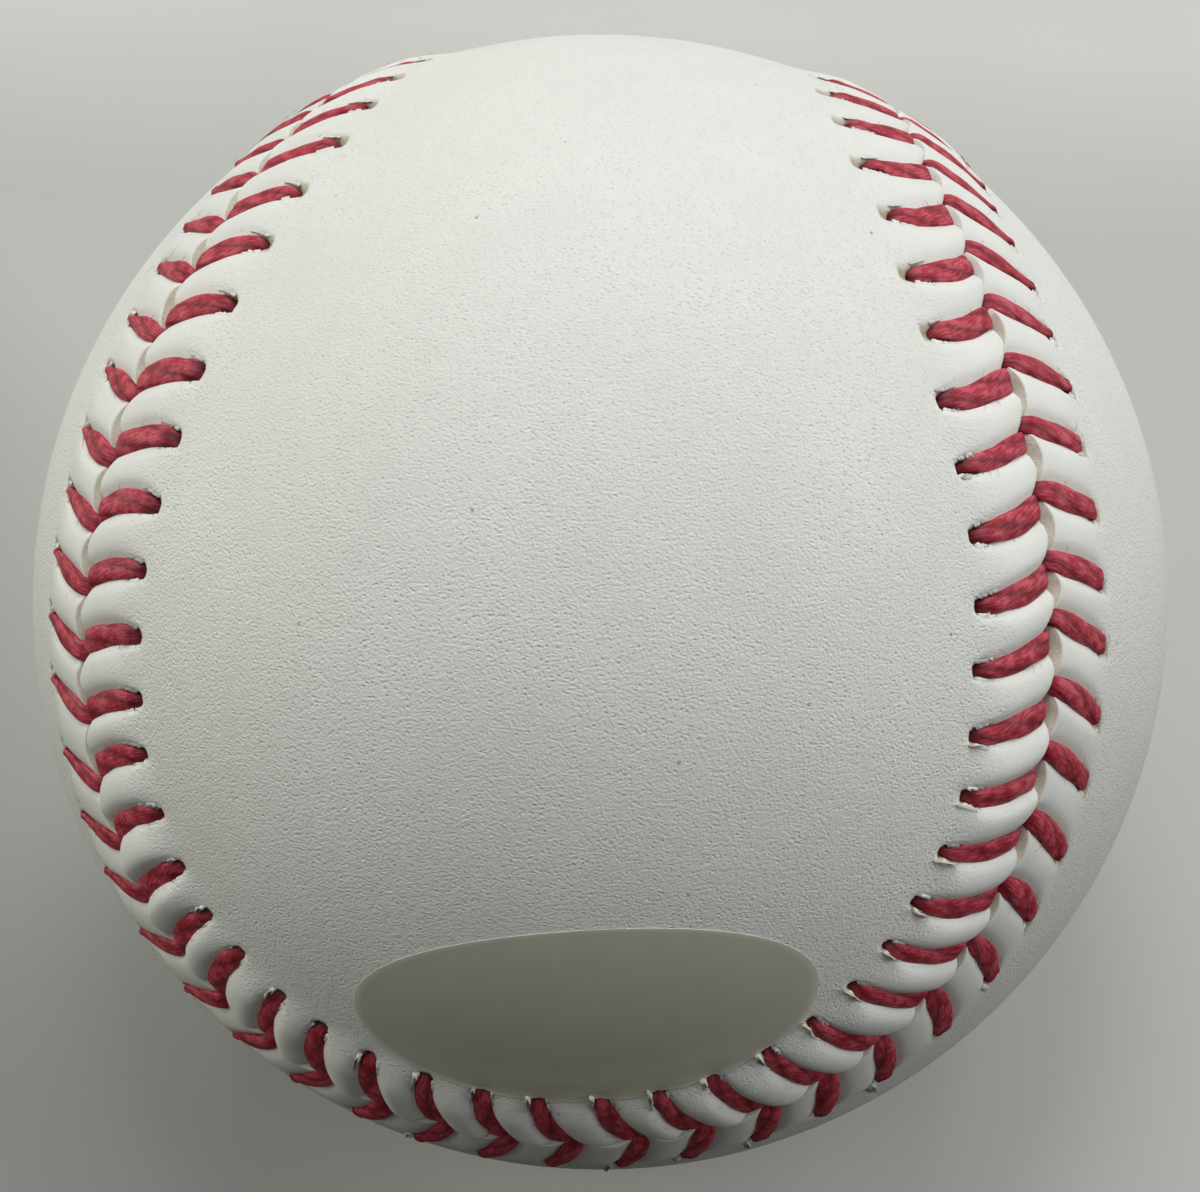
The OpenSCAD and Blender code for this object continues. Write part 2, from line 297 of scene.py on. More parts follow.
@dataclass(frozen=True)
class CutLeather:
    """The cut edge and torn flesh of the cowhide, tan fibres without a grain."""

    light: str = "e4ded0"
    dark: str = "c6bca6"
    fibre_mm: float = 0.18

    def make(self) -> Material:
        """Build the material: matt cream to tan fibres with a loose nap.

        Returns:
            The material.
        """
        material, tree, place = new_material("cut cowhide")
        fibre = add_node(tree, "TexNoise", {
            "Vector": place, "Scale": per(self.fibre_mm), "Detail": 5.0, "Roughness": 0.7,
            "Distortion": 1.2}, "Fac")
        tone = add_node(tree, "ValToRGB", {0: fibre},
                        stops=[(0.3, linear(self.dark)), (0.62, linear(self.light))])
        bump = add_node(tree, "Bump", {"Strength": 0.7, "Distance": 0.06 * MM, "Height": fibre})
        flesh = add_node(tree, "BsdfPrincipled", {
            "Base Color": tone, "Roughness": 0.9, "Normal": bump, "Specular IOR Level": 0.2})
        add_node(tree, "OutputMaterial", {"Surface": flesh})
        return material


@dataclass(frozen=True)
class WaxedThread:
    """Red cotton seam thread, twisted of plies and waxed to a soft shine.

    Its filaments are drawn about five times as coarse as real cotton's, so that they show.
    """

    bright: str = "aa2c3d"
    deep: str = "7c101f"
    pale: str = "c45562"
    filament_mm: float = 0.1
    patch_mm: float = 0.8

    def make(self) -> Material:
        """Build the material: streaks of red along each ply, from the map that runs along it.

        Returns:
            The material.
        """
        material, tree, place = new_material("waxed red cotton")
        along = add_node(tree, "UVMap", uv_map="ply")
        stretched = add_node(tree, "Mapping", {"Vector": along, "Scale": (1.0, 0.14, 1.0)})
        filament = add_node(tree, "TexNoise", {
            "Vector": stretched, "Scale": 1 / self.filament_mm, "Detail": 3.0, "Roughness": 0.6}, "Fac")
        patch = add_node(tree, "TexNoise", {
            "Vector": place, "Scale": per(self.patch_mm), "Detail": 3.0}, "Fac")
        mixed = add_node(tree, "Math", {0: patch, 1: 0.8, 2: filament}, operation="MULTIPLY_ADD")
        tone = add_node(tree, "ValToRGB", {0: mixed}, stops=[
            (0.62, linear(self.deep)), (0.88, linear(self.bright)), (1.08, linear(self.pale))])
        # Painted shade darkens the thread where it goes into the leather, and in the grooves between plies.
        for name, start, dark in (("depth", 0.0, (0.1, 0.08, 0.13, 1.0)),
                                  ("groove", 0.1, (0.3, 0.2, 0.2, 1.0))):
            share = add_node(tree, "Attribute", out="Fac", attribute_name=name)
            shade = add_node(tree, "ValToRGB", {0: share}, stops=[(start, grey(1.0)), (1.0, dark)])
            tone = add_node(tree, "Mix", {"Factor": 1.0, 6: tone, 7: shade}, 2, data_type="RGBA",
                            blend_type="MULTIPLY")
        bump = add_node(tree, "Bump", {"Strength": 0.5, "Distance": 0.03 * MM, "Height": filament})
        cotton = add_node(tree, "BsdfPrincipled", {
            "Base Color": tone, "Roughness": 0.52, "Normal": bump, "Specular IOR Level": 0.26})
        add_node(tree, "OutputMaterial", {"Surface": cotton})
        return material


@dataclass(frozen=True)
class LabelFilm:
    """Thin clear vinyl film with a frosted face and a painted highlight along its cut rim.

    The frost is drawn coarser than on real film, so that it shows.
    """

    tint: str = "cac9b7"
    rim: str = "e2e2d6"
    ripple_mm: float = 2.4
    frost_mm: float = 0.12

    def make(self) -> Material:
        """Build the material: a grey film that dims the leather under it.

        Returns:
            The material.
        """
        material, tree, place = new_material("frosted vinyl film")
        ripple, frost = (add_node(tree, "TexNoise", {
            "Vector": place, "Scale": per(size), "Detail": 2.0}, "Fac")
            for size in (self.ripple_mm, self.frost_mm))
        # The film is painted paler along its rim, a painted highlight of its cut edge.
        edge = add_node(tree, "Attribute", out="Fac", attribute_name="rim")
        tone = add_node(tree, "Mix", {
            "Factor": edge, 6: linear(self.tint), 7: linear(self.rim)}, 2, data_type="RGBA")
        blotch = add_node(tree, "ValToRGB", {0: ripple}, stops=[(0.3, grey(0.95)), (0.7, grey(1.0))])
        tone = add_node(tree, "Mix", {"Factor": 1.0, 6: tone, 7: blotch}, 2, data_type="RGBA",
                        blend_type="MULTIPLY")
        bump = add_node(tree, "Bump", {"Strength": 0.12, "Distance": 0.05 * MM, "Height": ripple})
        bump = add_node(tree, "Bump", {
            "Strength": 0.1, "Distance": 0.01 * MM, "Height": frost, "Normal": bump})
        film = add_node(tree, "BsdfPrincipled", {
            "Base Color": tone, "Roughness": 0.34, "Normal": bump, "Alpha": 0.82,
            "Specular IOR Level": 0.5})
        add_node(tree, "OutputMaterial", {"Surface": film})
        return material


@dataclass(frozen=True)
class WoundYarn:
    """Yarn wound in every direction, so bands of strands cross each other."""

    name: str
    light: str
    dark: str
    strand_mm: float
    wave_share: float = 0.314

    def make(self) -> Material:
        """Build the material: three bands of matt strands that cross.

        Returns:
            The material.
        """
        material, tree, place = new_material(self.name)
        height: Optional[Socket] = None
        for turn in ((0.3, 0.2, 0.1), (1.2, 0.5, 2.0), (2.1, 1.4, 0.9)):
            turned = add_node(tree, "Mapping", {"Vector": place, "Rotation": turn})
            band = add_node(tree, "TexWave", {
                "Vector": turned, "Scale": self.wave_share / (self.strand_mm * MM), "Distortion": 1.5,
                "Detail": 2.0, "Detail Scale": 1.5}, "Fac")
            if height is None:
                height = band
            else:
                height = add_node(tree, "Math", {0: height, 1: band}, operation="MAXIMUM")
        tone = add_node(tree, "ValToRGB", {0: height},
                        stops=[(0.25, linear(self.dark)), (0.9, linear(self.light))])
        bump = add_node(tree, "Bump", {"Strength": 0.8, "Distance": 0.2 * MM, "Height": height})
        yarn = add_node(tree, "BsdfPrincipled", {
            "Base Color": tone, "Roughness": 0.92, "Normal": bump, "Sheen Weight": 0.3})
        add_node(tree, "OutputMaterial", {"Surface": yarn})
        return material


@dataclass(frozen=True)
class MouldedRubber:
    """Moulded rubber, matt with a faint bloom."""

    name: str
    light: str
    dark: str
    bloom_mm: float = 3.0
    grain_mm: float = 0.25

    def make(self) -> Material:
        """Build the material: a soft bloom over a fine moulded grain.

        Returns:
            The material.
        """
        material, tree, place = new_material(self.name)
        bloom, grain = (add_node(tree, "TexNoise", {
            "Vector": place, "Scale": per(size), "Detail": detail}, "Fac")
            for size, detail in ((self.bloom_mm, 5.0), (self.grain_mm, 2.0)))
        tone = add_node(tree, "ValToRGB", {0: bloom},
                        stops=[(0.35, linear(self.dark)), (0.7, linear(self.light))])
        bump = add_node(tree, "Bump", {"Strength": 0.3, "Distance": 0.05 * MM, "Height": grain})
        rubber = add_node(tree, "BsdfPrincipled", {"Base Color": tone, "Roughness": 0.7, "Normal": bump})
        add_node(tree, "OutputMaterial", {"Surface": rubber})
        return material


@dataclass(frozen=True)
class GroundCork:
    """Composition cork: grains of cork pressed together with rubber."""

    light: str = "b98d5e"
    dark: str = "6e4a2c"
    grain_mm: float = 1.6

    def make(self) -> Material:
        """Build the material: grains of many browns with sunk joints.

        Returns:
            The material.
        """
        material, tree, place = new_material("composition cork")
        cells = add_node(tree, "TexVoronoi", {"Vector": place, "Scale": per(self.grain_mm)}, "Distance")
        tone = add_node(tree, "ValToRGB", {0: cells.node.outputs["Color"]},
                        stops=[(0.2, linear(self.dark)), (0.8, linear(self.light))])
        bump = add_node(tree, "Bump", {"Strength": 0.5, "Distance": 0.15 * MM, "Height": cells})
        cork = add_node(tree, "BsdfPrincipled", {"Base Color": tone, "Roughness": 0.85, "Normal": bump})
        add_node(tree, "OutputMaterial", {"Surface": cork})
        return material


@dataclass(frozen=True)
class StudioPaper:
    """Pale grey paper under the ball, which fades to the far background.

    Each place is a span in metres on the floor, and each tone is the pair of levels
    at its two ends, which multiply the paper's colour. They paint the ball's shadow to the
    front left, painted light under the ball and behind it, and painted shade in front for
    the light that the paper bounces. The paper's tooth is drawn coarser than real, so that it shows.
    """

    near: str = "c4c4c0"
    far: float = 0.62
    tooth_mm: float = 0.6
    cloud_mm: float = 70.0
    painted_shadow_way: Triple = (0.9, 0.8, 0.0)
    painted_shadow_places: Span = (-0.055, 0.0)
    painted_shadow_tones: Span = (0.52, 0.9)
    painted_bounce_places: Span = (0.022, 0.038)
    painted_bounce_tones: Span = (1.75, 1.0)
    painted_light_places: Span = (0.1, 0.145)
    painted_light_tones: Span = (1.0, 1.25)
    even_places: Span = (0.15, 0.4)
    returned_shade_places: Span = (-0.02, 0.1)
    returned_shade_tones: Span = (0.12, 0.9)
    fade_places: Span = (0.5, 1.6)

    def make(self) -> Material:
        """Build the floor's material: matt paper that ends in an even pale grey.

        Returns:
            The material.
        """
        material, tree, place = new_material("grey studio paper")
        tooth, cloud = (add_node(tree, "TexNoise", {
            "Vector": place, "Scale": per(size), "Detail": detail}, "Fac")
            for size, detail in ((self.tooth_mm, 4.0), (self.cloud_mm, 2.0)))
        cloud = add_node(tree, "ValToRGB", {0: cloud}, stops=[(0.3, grey(0.95)), (0.7, grey(1.0))])
        tone = add_node(tree, "Mix", {"Factor": 1.0, 6: linear(self.near), 7: cloud}, 2,
                        data_type="RGBA", blend_type="MULTIPLY")
        seen = add_node(tree, "LightPath", out="Is Camera Ray")
        level = add_node(tree, "VectorMath", {0: place, 1: (1.0, 1.0, 0.0)}, operation="MULTIPLY")
        reach = add_node(tree, "VectorMath", {0: level}, "Value", operation="LENGTH")
        across = add_node(tree, "VectorMath", {0: place, 1: self.painted_shadow_way}, "Value",
                          operation="DOT_PRODUCT")
        depth = add_node(tree, "SeparateXYZ", {0: place}, "Y")
        painted_shadow, under, behind, even, returned_shade, fade = (
            add_node(tree, "MapRange", {
                "Value": value, "From Min": places[0], "From Max": places[1], "To Min": tones[0],
                "To Max": tones[1]}, interpolation_type=rise)
            for value, places, tones, rise in (
                (across, self.painted_shadow_places, self.painted_shadow_tones, "LINEAR"),
                (reach, self.painted_bounce_places, self.painted_bounce_tones, "SMOOTHSTEP"),
                (depth, self.painted_light_places, self.painted_light_tones, "LINEAR"),
                (reach, self.even_places, (0.0, 1.0), "SMOOTHSTEP"),
                (depth, self.returned_shade_places, self.returned_shade_tones, "LINEAR"),
                (reach, self.fade_places, (0.0, 1.0), "LINEAR")))
        # Near the ball a painted shadow darkens the paper to the front left, painted light pales it under
        # the ball, and painted light brightens it behind.
        lit = add_node(tree, "Math", {0: painted_shadow, 1: under}, operation="MULTIPLY")
        lit = add_node(tree, "Math", {0: lit, 1: behind}, operation="MULTIPLY")
        lit = add_node(tree, "Mix", {0: even, 2: lit, 3: 1.0})
        # For bounced light the paper in front carries painted shade, so it lights the ball less than it
        # shows, which keeps the underside dark.
        lit = add_node(tree, "Mix", {0: seen, 2: returned_shade, 3: lit})
        tone = add_node(tree, "VectorMath", {0: tone, "Scale": lit}, operation="SCALE")
        bump = add_node(tree, "Bump", {"Strength": 0.12, "Distance": 0.05 * MM, "Height": tooth})
        paper = add_node(tree, "BsdfPrincipled", {
            "Base Color": tone, "Roughness": 0.95, "Normal": bump, "Specular IOR Level": 0.1})
        fade = add_node(tree, "Math", {0: fade, 1: seen}, operation="MULTIPLY")
        glow = add_node(tree, "Emission", {"Color": grey(self.far)})
        blend = add_node(tree, "MixShader", {0: fade, 1: paper, 2: glow})
        add_node(tree, "OutputMaterial", {"Surface": blend})
        return material


def mesh_piece(name: str, points: np.ndarray, faces: Faces, materials: Sequence[Material],
               slots: Sequence[int] = ()) -> Piece:
    """Make an object from points and faces, shaded smooth.

    Args:
        name: The piece's name.
        points: One row for each point, in metres.
        faces: Indices of each face's corners.
        materials: The piece's material slots.
        slots: Each face's material slot, where there are two.

    Returns:
        The object, at the origin.
    """
    mesh = bpy.data.meshes.new(name)
    mesh.from_pydata([tuple(p) for p in points.tolist()], [], faces)
    mesh.update()
    for material in materials:
        mesh.materials.append(material)
    piece = bpy.data.objects.new(name, mesh)
    bpy.context.scene.collection.objects.link(piece)
    mesh.polygons.foreach_set("use_smooth", [True] * len(mesh.polygons))
    if slots:
        mesh.polygons.foreach_set("material_index", slots)
    return piece


def point_values(piece: Piece, name: str, values: np.ndarray) -> None:
    """Store one value for each point of a piece under a name that its material reads."""
    layer = piece.data.attributes.new(name, "FLOAT", "POINT")
    layer.data.foreach_set("value", np.asarray(values, np.float32))


def select_only(piece: Piece) -> None:
    """Make one object the only selected and active one.

    Args:
        piece: The object.
    """
    bpy.ops.object.select_all(action="DESELECT")
    piece.select_set(True)
    bpy.context.view_layer.objects.active = piece


def weld(piece: Piece, distance: float) -> None:
    """Merge points of a piece that lie together and turn its faces outwards.

    Args:
        piece: The object.
        distance: How near points lie that become one, in metres.
    """
    select_only(piece)
    bpy.ops.object.mode_set(mode="EDIT")
    bpy.ops.mesh.select_all(action="SELECT")
    bpy.ops.mesh.remove_doubles(threshold=distance)
    bpy.ops.mesh.normals_make_consistent(inside=False)
    bpy.ops.object.mode_set(mode="OBJECT")


def smooth_step(low: float, high: float, x: np.ndarray) -> np.ndarray:
    """Rise from 0 at low to 1 at high without a corner."""
    t = np.clip((x - low) / (high - low), 0, 1)
    return t * t * (3 - 2 * t)


def between(span: Span, share: np.ndarray) -> np.ndarray:
    """Go from the first value of a span to its second by a share."""
    return span[0] + (span[1] - span[0]) * share


def unit(rows: np.ndarray) -> np.ndarray:
    """Scale each row of an array to a length of 1."""
    return rows / np.linalg.norm(rows, axis=-1, keepdims=True)


@dataclass
class Seam:
    """The closed curve where the two pieces of leather meet."""

    radius: float
    samples: int = 2880
    axes: np.ndarray = field(init=False)
    turns: np.ndarray = field(init=False)
    lengths: np.ndarray = field(init=False)

    def __post_init__(self) -> None:
        """Measure the curve and set how the ball lies."""
        self.turns = np.linspace(0, math.pi / 2, self.samples + 1)
        path = self.direction(self.turns)
        steps = np.linalg.norm(np.diff(path, axis=0), axis=1)
        self.lengths = np.concatenate([[0], np.cumsum(steps)])
        lean = Matrix.Rotation(math.radians(-LOBE_TILT_DEG), 3, "X")
        self.axes = np.array(lean @ Matrix.Rotation(math.radians(-LOBE_TURN_DEG), 3, "Z"))

    @property
    def pitch_mm(self) -> float:
        """Distance between stitches along the seam."""
        return 4 * self.lengths[-1] * self.radius / STITCH_COUNT / MM

    def direction(self, turn: np.ndarray) -> np.ndarray:
        """Find the way from the ball's centre to the seam, in the seam's own axes.

        Args:
            turn: Places round the seam, as angles of which the whole seam has 2 pi.

        Returns:
            Directions of length 1.
        """
        wide = 1 - NECK_SHARE
        return unit(np.stack([
            wide * np.cos(turn) + NECK_SHARE * np.cos(3 * turn) + SQUARE_SHARE * np.cos(5 * turn),
            wide * np.sin(turn) - NECK_SHARE * np.sin(3 * turn) + SQUARE_SHARE * np.sin(5 * turn),
            2 * math.sqrt(wide * NECK_SHARE) * np.sin(2 * turn)], -1))

    def frame_at(self, u: np.ndarray) -> Tuple[np.ndarray, np.ndarray, np.ndarray]:
        """Find the seam's frame.

        Args:
            u: Places along the seam, in stitch spacings.

        Returns:
            Outward, forward and sideways directions as the ball lies. Sideways
            points to the front piece.
        """
        quarter = STITCH_COUNT / 4
        whole = np.floor(u / quarter)
        rest = np.interp((u / quarter - whole) * self.lengths[-1], self.lengths, self.turns)
        turn = whole * math.pi / 2 + rest
        step = 1e-4
        out = self.direction(turn)
        ahead = unit(self.direction(turn + step) - self.direction(turn - step))
        side = unit(np.cross(out, ahead))
        return out @ self.axes.T, ahead @ self.axes.T, side @ self.axes.T

    def place(self, u: np.ndarray, across_mm: np.ndarray, height_mm: np.ndarray) -> np.ndarray:
        """Place points by where they are on the seam.

        Args:
            u: Places along the seam, in stitch spacings.
            across_mm: Distance over the ball from the seam, to the front piece.
            height_mm: Height over the ball's plain surface.

        Returns:
            The points in metres.
        """
        out, _, side = self.frame_at(u)
        angle = (across_mm * MM / self.radius)[..., None]
        ray = out * np.cos(angle) + side * np.sin(angle)
        return ray * (self.radius + height_mm * MM)[..., None]


@dataclass
class StitchPlan:
    """Where one side's legs lie, how far its leather puffs up, and how it varies.

    The rows of habits say how the hand that sewed the ball worked at some of the
    stitches, and the stitches between them follow smoothly. Each row holds the
    stitch's number, how far its leg drifts along the seam and how much more it
    slants, how much further out its hole lies, how early the thread ends before the
    hole, the end's share of the leg's width, how wide the gap gapes, and how much
    the lip beside the hole is torn, from 0 to 1. Lengths are in millimetres.
    """

    seam: Seam
    side: Side
    habits: Tuple[Tuple[float, ...], ...]
    # How a leg lies: its reach, its slant and bow, where it dives into the gap, and its width.
    reach_mm: float = 5.6
    longest_share: float = 1.15
    slant_mm: float = 2.4
    dive_mm: float = 0.95
    dive_w_mm: float = 0.3
    bow: float = 1.6
    leg_w_mm: float = 1.62
    # How the leather puffs up between legs, more where the seam's bend crowds it, rises to
    # the seam, and is pressed down under a leg.
    puff_mm: float = 0.42
    puff_turn: float = 0.65
    puff_power: float = 0.9
    puff_shares: Span = (0.55, 1.25)
    mix_shares: Span = (0.25, 0.75)
    rise_mm: float = 0.16
    rise_shares: Span = (0.4, 1.6)
    press_mm: float = 0.2
    press_wide: float = 1.25
    press_shares: Span = (0.9, 1.12)
    # How the edge is notched by each stitch, leans in and rolls down.
    notch_mm: float = 0.55
    notch_power: float = 1.7
    tuck_mm: float = 0.14
    bevel_mm: float = 0.1
    bevel_gape: float = 1.2
    roll_w_mm: float = 0.55
    roll_h_mm: float = 0.36
    # The slit where a thread goes in. It is shallower where the thread ends early.
    slit_mm: float = 1.3
    slit_full_mm: float = 0.35
    slit_past_mm: float = 0.3
    slit_half_mm: float = 0.44
    slit_deep_mm: float = 0.9
    slit_behind_mm: float = 0.14
    shallow_early_mm: Span = (0.2, 0.5)
    narrow_from_mm: Span = (-0.5, -1.0)
    narrow_to_mm: Span = (0.3, -0.3)
    narrow_rise: Span = (0.3, 0.8)
    narrow_share: float = 0.3
    # The bare flesh beyond a thread that ends early.
    bare_early_mm: Span = (0.2, 0.45)
    bare_start_mm: float = 0.3
    bare_past_mm: Span = (0.1, 0.35)
    bare_half_mm: float = 0.46
    bare_behind_mm: float = 0.08
    # How long a leg's end sinks, how far inside its ends its bed is read, and how many
    # flakes lie behind and ahead of it.
    sink_mm: float = 1.6
    inset_mm: float = 0.3
    flakes: Tuple[int, int] = (3, 2)
    # How much each stitch differs by chance.
    shift_error_mm: float = 0.12
    long_error_mm: float = 0.14
    early_error_mm: float = 0.08
    wide_error: float = 0.06
    tight_error_mm: float = 0.05
    bend_error: float = 0.12
    puff_error: float = 0.12
    seed: int = 11

    def __post_init__(self) -> None:
        """Draw each stitch's own small errors, and follow how sharply the seam bends."""
        rng = np.random.default_rng(self.seed + self.side.value)
        n = STITCH_COUNT
        rows = np.array(self.habits)
        drift, slant, further, early, self.ends, self.gape, self.torn = (
            np.interp(np.arange(n), rows[:, 0], column, period=n) for column in rows.T[1:])
        self.slants = self.slant_mm + slant
        self.shift = drift + rng.normal(0, self.shift_error_mm, n)
        self.long = further + rng.normal(0, self.long_error_mm, n)
        self.early = early + np.abs(rng.normal(0, self.early_error_mm, n))
        self.wide = 1 + rng.normal(0, self.wide_error, n)
        self.tight = rng.normal(0, self.tight_error_mm, n)
        self.bend = rng.normal(0, self.bend_error, n)
        place = np.arange(n) + FIRST_STITCH_SHARE
        _, before, _ = self.seam.frame_at(place - 0.5)
        _, after, inwards = self.seam.frame_at(place + 0.5)
        turn = self.side.value * ((after - before) * inwards).sum(1)
        crowded = np.maximum(turn / np.abs(turn).max(), 0)
        self.puffy = (1 + rng.normal(0, self.puff_error, n)) * (1 + self.puff_turn * crowded)

    def reach_of(self, i: np.ndarray) -> np.ndarray:
        """Distance of a stitch's hole from the seam."""
        return self.reach_mm + self.long[i % STITCH_COUNT]

    def end_of(self, i: np.ndarray) -> np.ndarray:
        """Distance from the seam where a stitch's thread goes down into its hole."""
        return self.reach_of(i) - self.early[i % STITCH_COUNT]

    def leg_offset(self, i: np.ndarray, w: np.ndarray) -> np.ndarray:
        """Find where a leg lies along the seam, from its stitch's place.

        Args:
            i: The stitches' numbers.
            w: Distances from the seam, in millimetres.

        Returns:
            Offsets along the seam, in millimetres.
        """
        k = i % STITCH_COUNT
        share = np.clip(w / self.reach_of(i), 0, self.longest_share)
        left = np.sign(1 - share) * np.abs(1 - share) ** (self.bow + self.bend[k])
        back = self.slants[k] * (1 - left)
        return self.shift[k] - self.side.value * self.dive_mm * (1 - share) - back

    def leg_width(self, i: np.ndarray, w: np.ndarray) -> np.ndarray:
        """Find how wide a leg is.

        Args:
            i: The stitches' numbers.
            w: Distances from the seam, in millimetres.

        Returns:
            Widths in millimetres.
        """
        k = i % STITCH_COUNT
        share = w / self.end_of(i)
        blunt = np.interp(share, WIDTH_AT, BLUNT_LEG)
        pointed = np.interp(share, WIDTH_AT, POINTED_LEG)
        mix = np.clip((self.ends[k] - POINTED_LEG[-1]) / (BLUNT_LEG[-1] - POINTED_LEG[-1]), 0, 1)
        return self.leg_w_mm * (pointed + (blunt - pointed) * mix) * self.wide[k]

    def around(self, u: np.ndarray, w: np.ndarray) -> Tuple[np.ndarray, np.ndarray, np.ndarray]:
        """Find the two legs that a point lies between.

        Args:
            u: Places along the seam, in stitch spacings.
            w: Distances from the seam, in millimetres.

        Returns:
            The number of the leg behind, and how far behind and ahead the two
            legs are along the seam, in millimetres.
        """
        pitch = self.seam.pitch_mm
        guess = np.floor(u - FIRST_STITCH_SHARE - self.leg_offset(np.zeros_like(u, int), w) / pitch)
        i = guess.astype(int)
        for correction in (True, True, False):
            here = (i + FIRST_STITCH_SHARE) * pitch + self.leg_offset(i, w)
            ahead = (i + 1 + FIRST_STITCH_SHARE) * pitch + self.leg_offset(i + 1, w)
            if correction:
                i = i - (u * pitch < here).astype(int) + (u * pitch >= ahead).astype(int)
        return i, u * pitch - here, ahead - u * pitch

    def gaping(self, u: np.ndarray) -> np.ndarray:
        """How much wider the gap is at places along the seam, in millimetres."""
        return np.interp(u, np.arange(STITCH_COUNT) + FIRST_STITCH_SHARE, self.gape, period=STITCH_COUNT)

    def lip(self, u: np.ndarray) -> np.ndarray:
        """Find where the leather's edge is.

        Args:
            u: Places along the seam, in stitch spacings.

        Returns:
            Distances from the seam's middle, in millimetres.
        """
        i, behind, ahead = self.around(u, np.zeros_like(u))
        share = np.clip(behind / (behind + ahead), 0, 1)
        open_share = np.abs(np.cos(math.pi * share)) ** self.notch_power
        tight = np.where(share < 0.5, self.tight[i % STITCH_COUNT], self.tight[(i + 1) % STITCH_COUNT])
        return self.tuck_mm + self.gaping(u) + (self.notch_mm + tight) * open_share

    def bevel(self, u: np.ndarray) -> np.ndarray:
        """How far the foot of the cut edge leans in under the seam, in millimetres."""
        return self.bevel_mm + self.bevel_gape * self.gaping(u)

    def bed(self, u: np.ndarray, w: np.ndarray) -> np.ndarray:
        """Find the height of the leather without its holes and rolled edge.

        Args:
            u: Places along the seam, in stitch spacings.
            w: Distances from the seam, in millimetres.

        Returns:
            Heights over the ball's plain surface, in millimetres.
        """
        i, behind, ahead = self.around(u, w)
        share = np.clip(behind / (behind + ahead), 0, 1)
        mix = smooth_step(*self.mix_shares, share)
        puffy = self.puffy[i % STITCH_COUNT] * (1 - mix) + self.puffy[(i + 1) % STITCH_COUNT] * mix
        out = w / self.reach_mm
        length = 1 - smooth_step(*self.puff_shares, out)
        puff = self.puff_mm * puffy * length * np.abs(np.sin(math.pi * share)) ** self.puff_power
        rise = self.rise_mm * (1 - smooth_step(*self.rise_shares, out))
        press = 0.0
        for k, gap in ((i, behind), (i + 1, ahead)):
            half = self.leg_width(k, w) / 2
            under = np.exp(-(gap / (self.press_wide * half)) ** 4)
            press = press + under * (1 - smooth_step(*self.press_shares, w / self.reach_of(k)))
        return rise + puff - self.press_mm * press

    def slit(self, u: np.ndarray, w: np.ndarray) -> np.ndarray:
        """Find how far points are inside the slit where a thread goes in.

        Args:
            u: Places along the seam, in stitch spacings.
            w: Distances from the seam, in millimetres.

        Returns:
            Shares from 0 on the face to 1 at the slit's full depth.
        """
        i, behind, ahead = self.around(u, w)
        share = np.zeros_like(w)
        for k, gap in ((i, behind), (i + 1, -ahead)):
            # The slit narrows and rises to its far end, which lies a little behind the leg.
            shallow = smooth_step(*self.shallow_early_mm, self.early[k % STITCH_COUNT])
            beyond = w - self.reach_of(k)
            past = smooth_step(between(self.narrow_from_mm, shallow),
                               between(self.narrow_to_mm, shallow), beyond)
            along = smooth_step(-self.slit_mm, -self.slit_full_mm, w - self.end_of(k))
            along = along * (1 - between(self.narrow_rise, shallow) * past)
            along = along * (1 - smooth_step(0.0, self.slit_past_mm, beyond))
            aside = (gap + self.slit_behind_mm * past) / (self.slit_half_mm * (1 - self.narrow_share * past))
            share = np.maximum(share, along * np.exp(-aside ** 4))
        return share

    def recess(self, u: np.ndarray, w: np.ndarray) -> np.ndarray:
        """Find how bare the flesh is beyond a thread that ends early.

        Args:
            u: Places along the seam, in stitch spacings.
            w: Distances from the seam, in millimetres.

        Returns:
            Shares from 0 on the grain side to 1 on bare flesh.
        """
        i, behind, ahead = self.around(u, w)
        share = np.zeros_like(w)
        for k, gap in ((i, behind), (i + 1, -ahead)):
            early = smooth_step(*self.bare_early_mm, self.early[k % STITCH_COUNT])
            along = smooth_step(-self.bare_start_mm, 0.0, w - self.end_of(k))
            along = along * (1 - smooth_step(*self.bare_past_mm, w - self.reach_of(k)))
            aside = (gap + self.bare_behind_mm) / self.bare_half_mm
            share = np.maximum(share, early * along * np.exp(-aside ** 4))
        return share

    def height(self, u: np.ndarray, w: np.ndarray) -> np.ndarray:
        """Find the height of the leather's outer face.

        Args:
            u: Places along the seam, in stitch spacings.
            w: Distances from the seam, in millimetres.

        Returns:
            Heights over the ball's plain surface, in millimetres.
        """
        face = self.bed(u, w) - self.slit_deep_mm * self.slit(u, w)
        share = np.clip((w - self.lip(u)) / self.roll_w_mm, 0, 1)
        return face - self.roll_h_mm * (1 - np.sqrt(np.clip(1 - (1 - share) ** 2, 0, 1)))

    def leg_path(self, i: int) -> np.ndarray:
        """Middle of a leg, from inside its hole to inside the gap.

        Args:
            i: The stitch's number.

        Returns:
            Rows of place along the seam, distance across it and height, in
            stitch spacings and millimetres.
        """
        reach = float(self.end_of(np.array(i)))
        across = np.concatenate([reach - self.sink_mm * SINK_SHARES, REACH_SHARES * reach,
                                 self.dive_w_mm + DIVE_STEPS_MM])
        w = np.clip(across, self.inset_mm, reach - self.inset_mm)
        u = i + FIRST_STITCH_SHARE + self.leg_offset(np.full(len(w), i), across) / self.seam.pitch_mm
        # Its ends go down from near the plain surface, so that puffed leather can't lift them.
        ground = np.where(LEG_HEIGHTS_MM > LAID_MM, self.bed(u, w), PLAIN_BED_MM)
        return np.stack([u, across, ground + LEG_HEIGHTS_MM], 1)


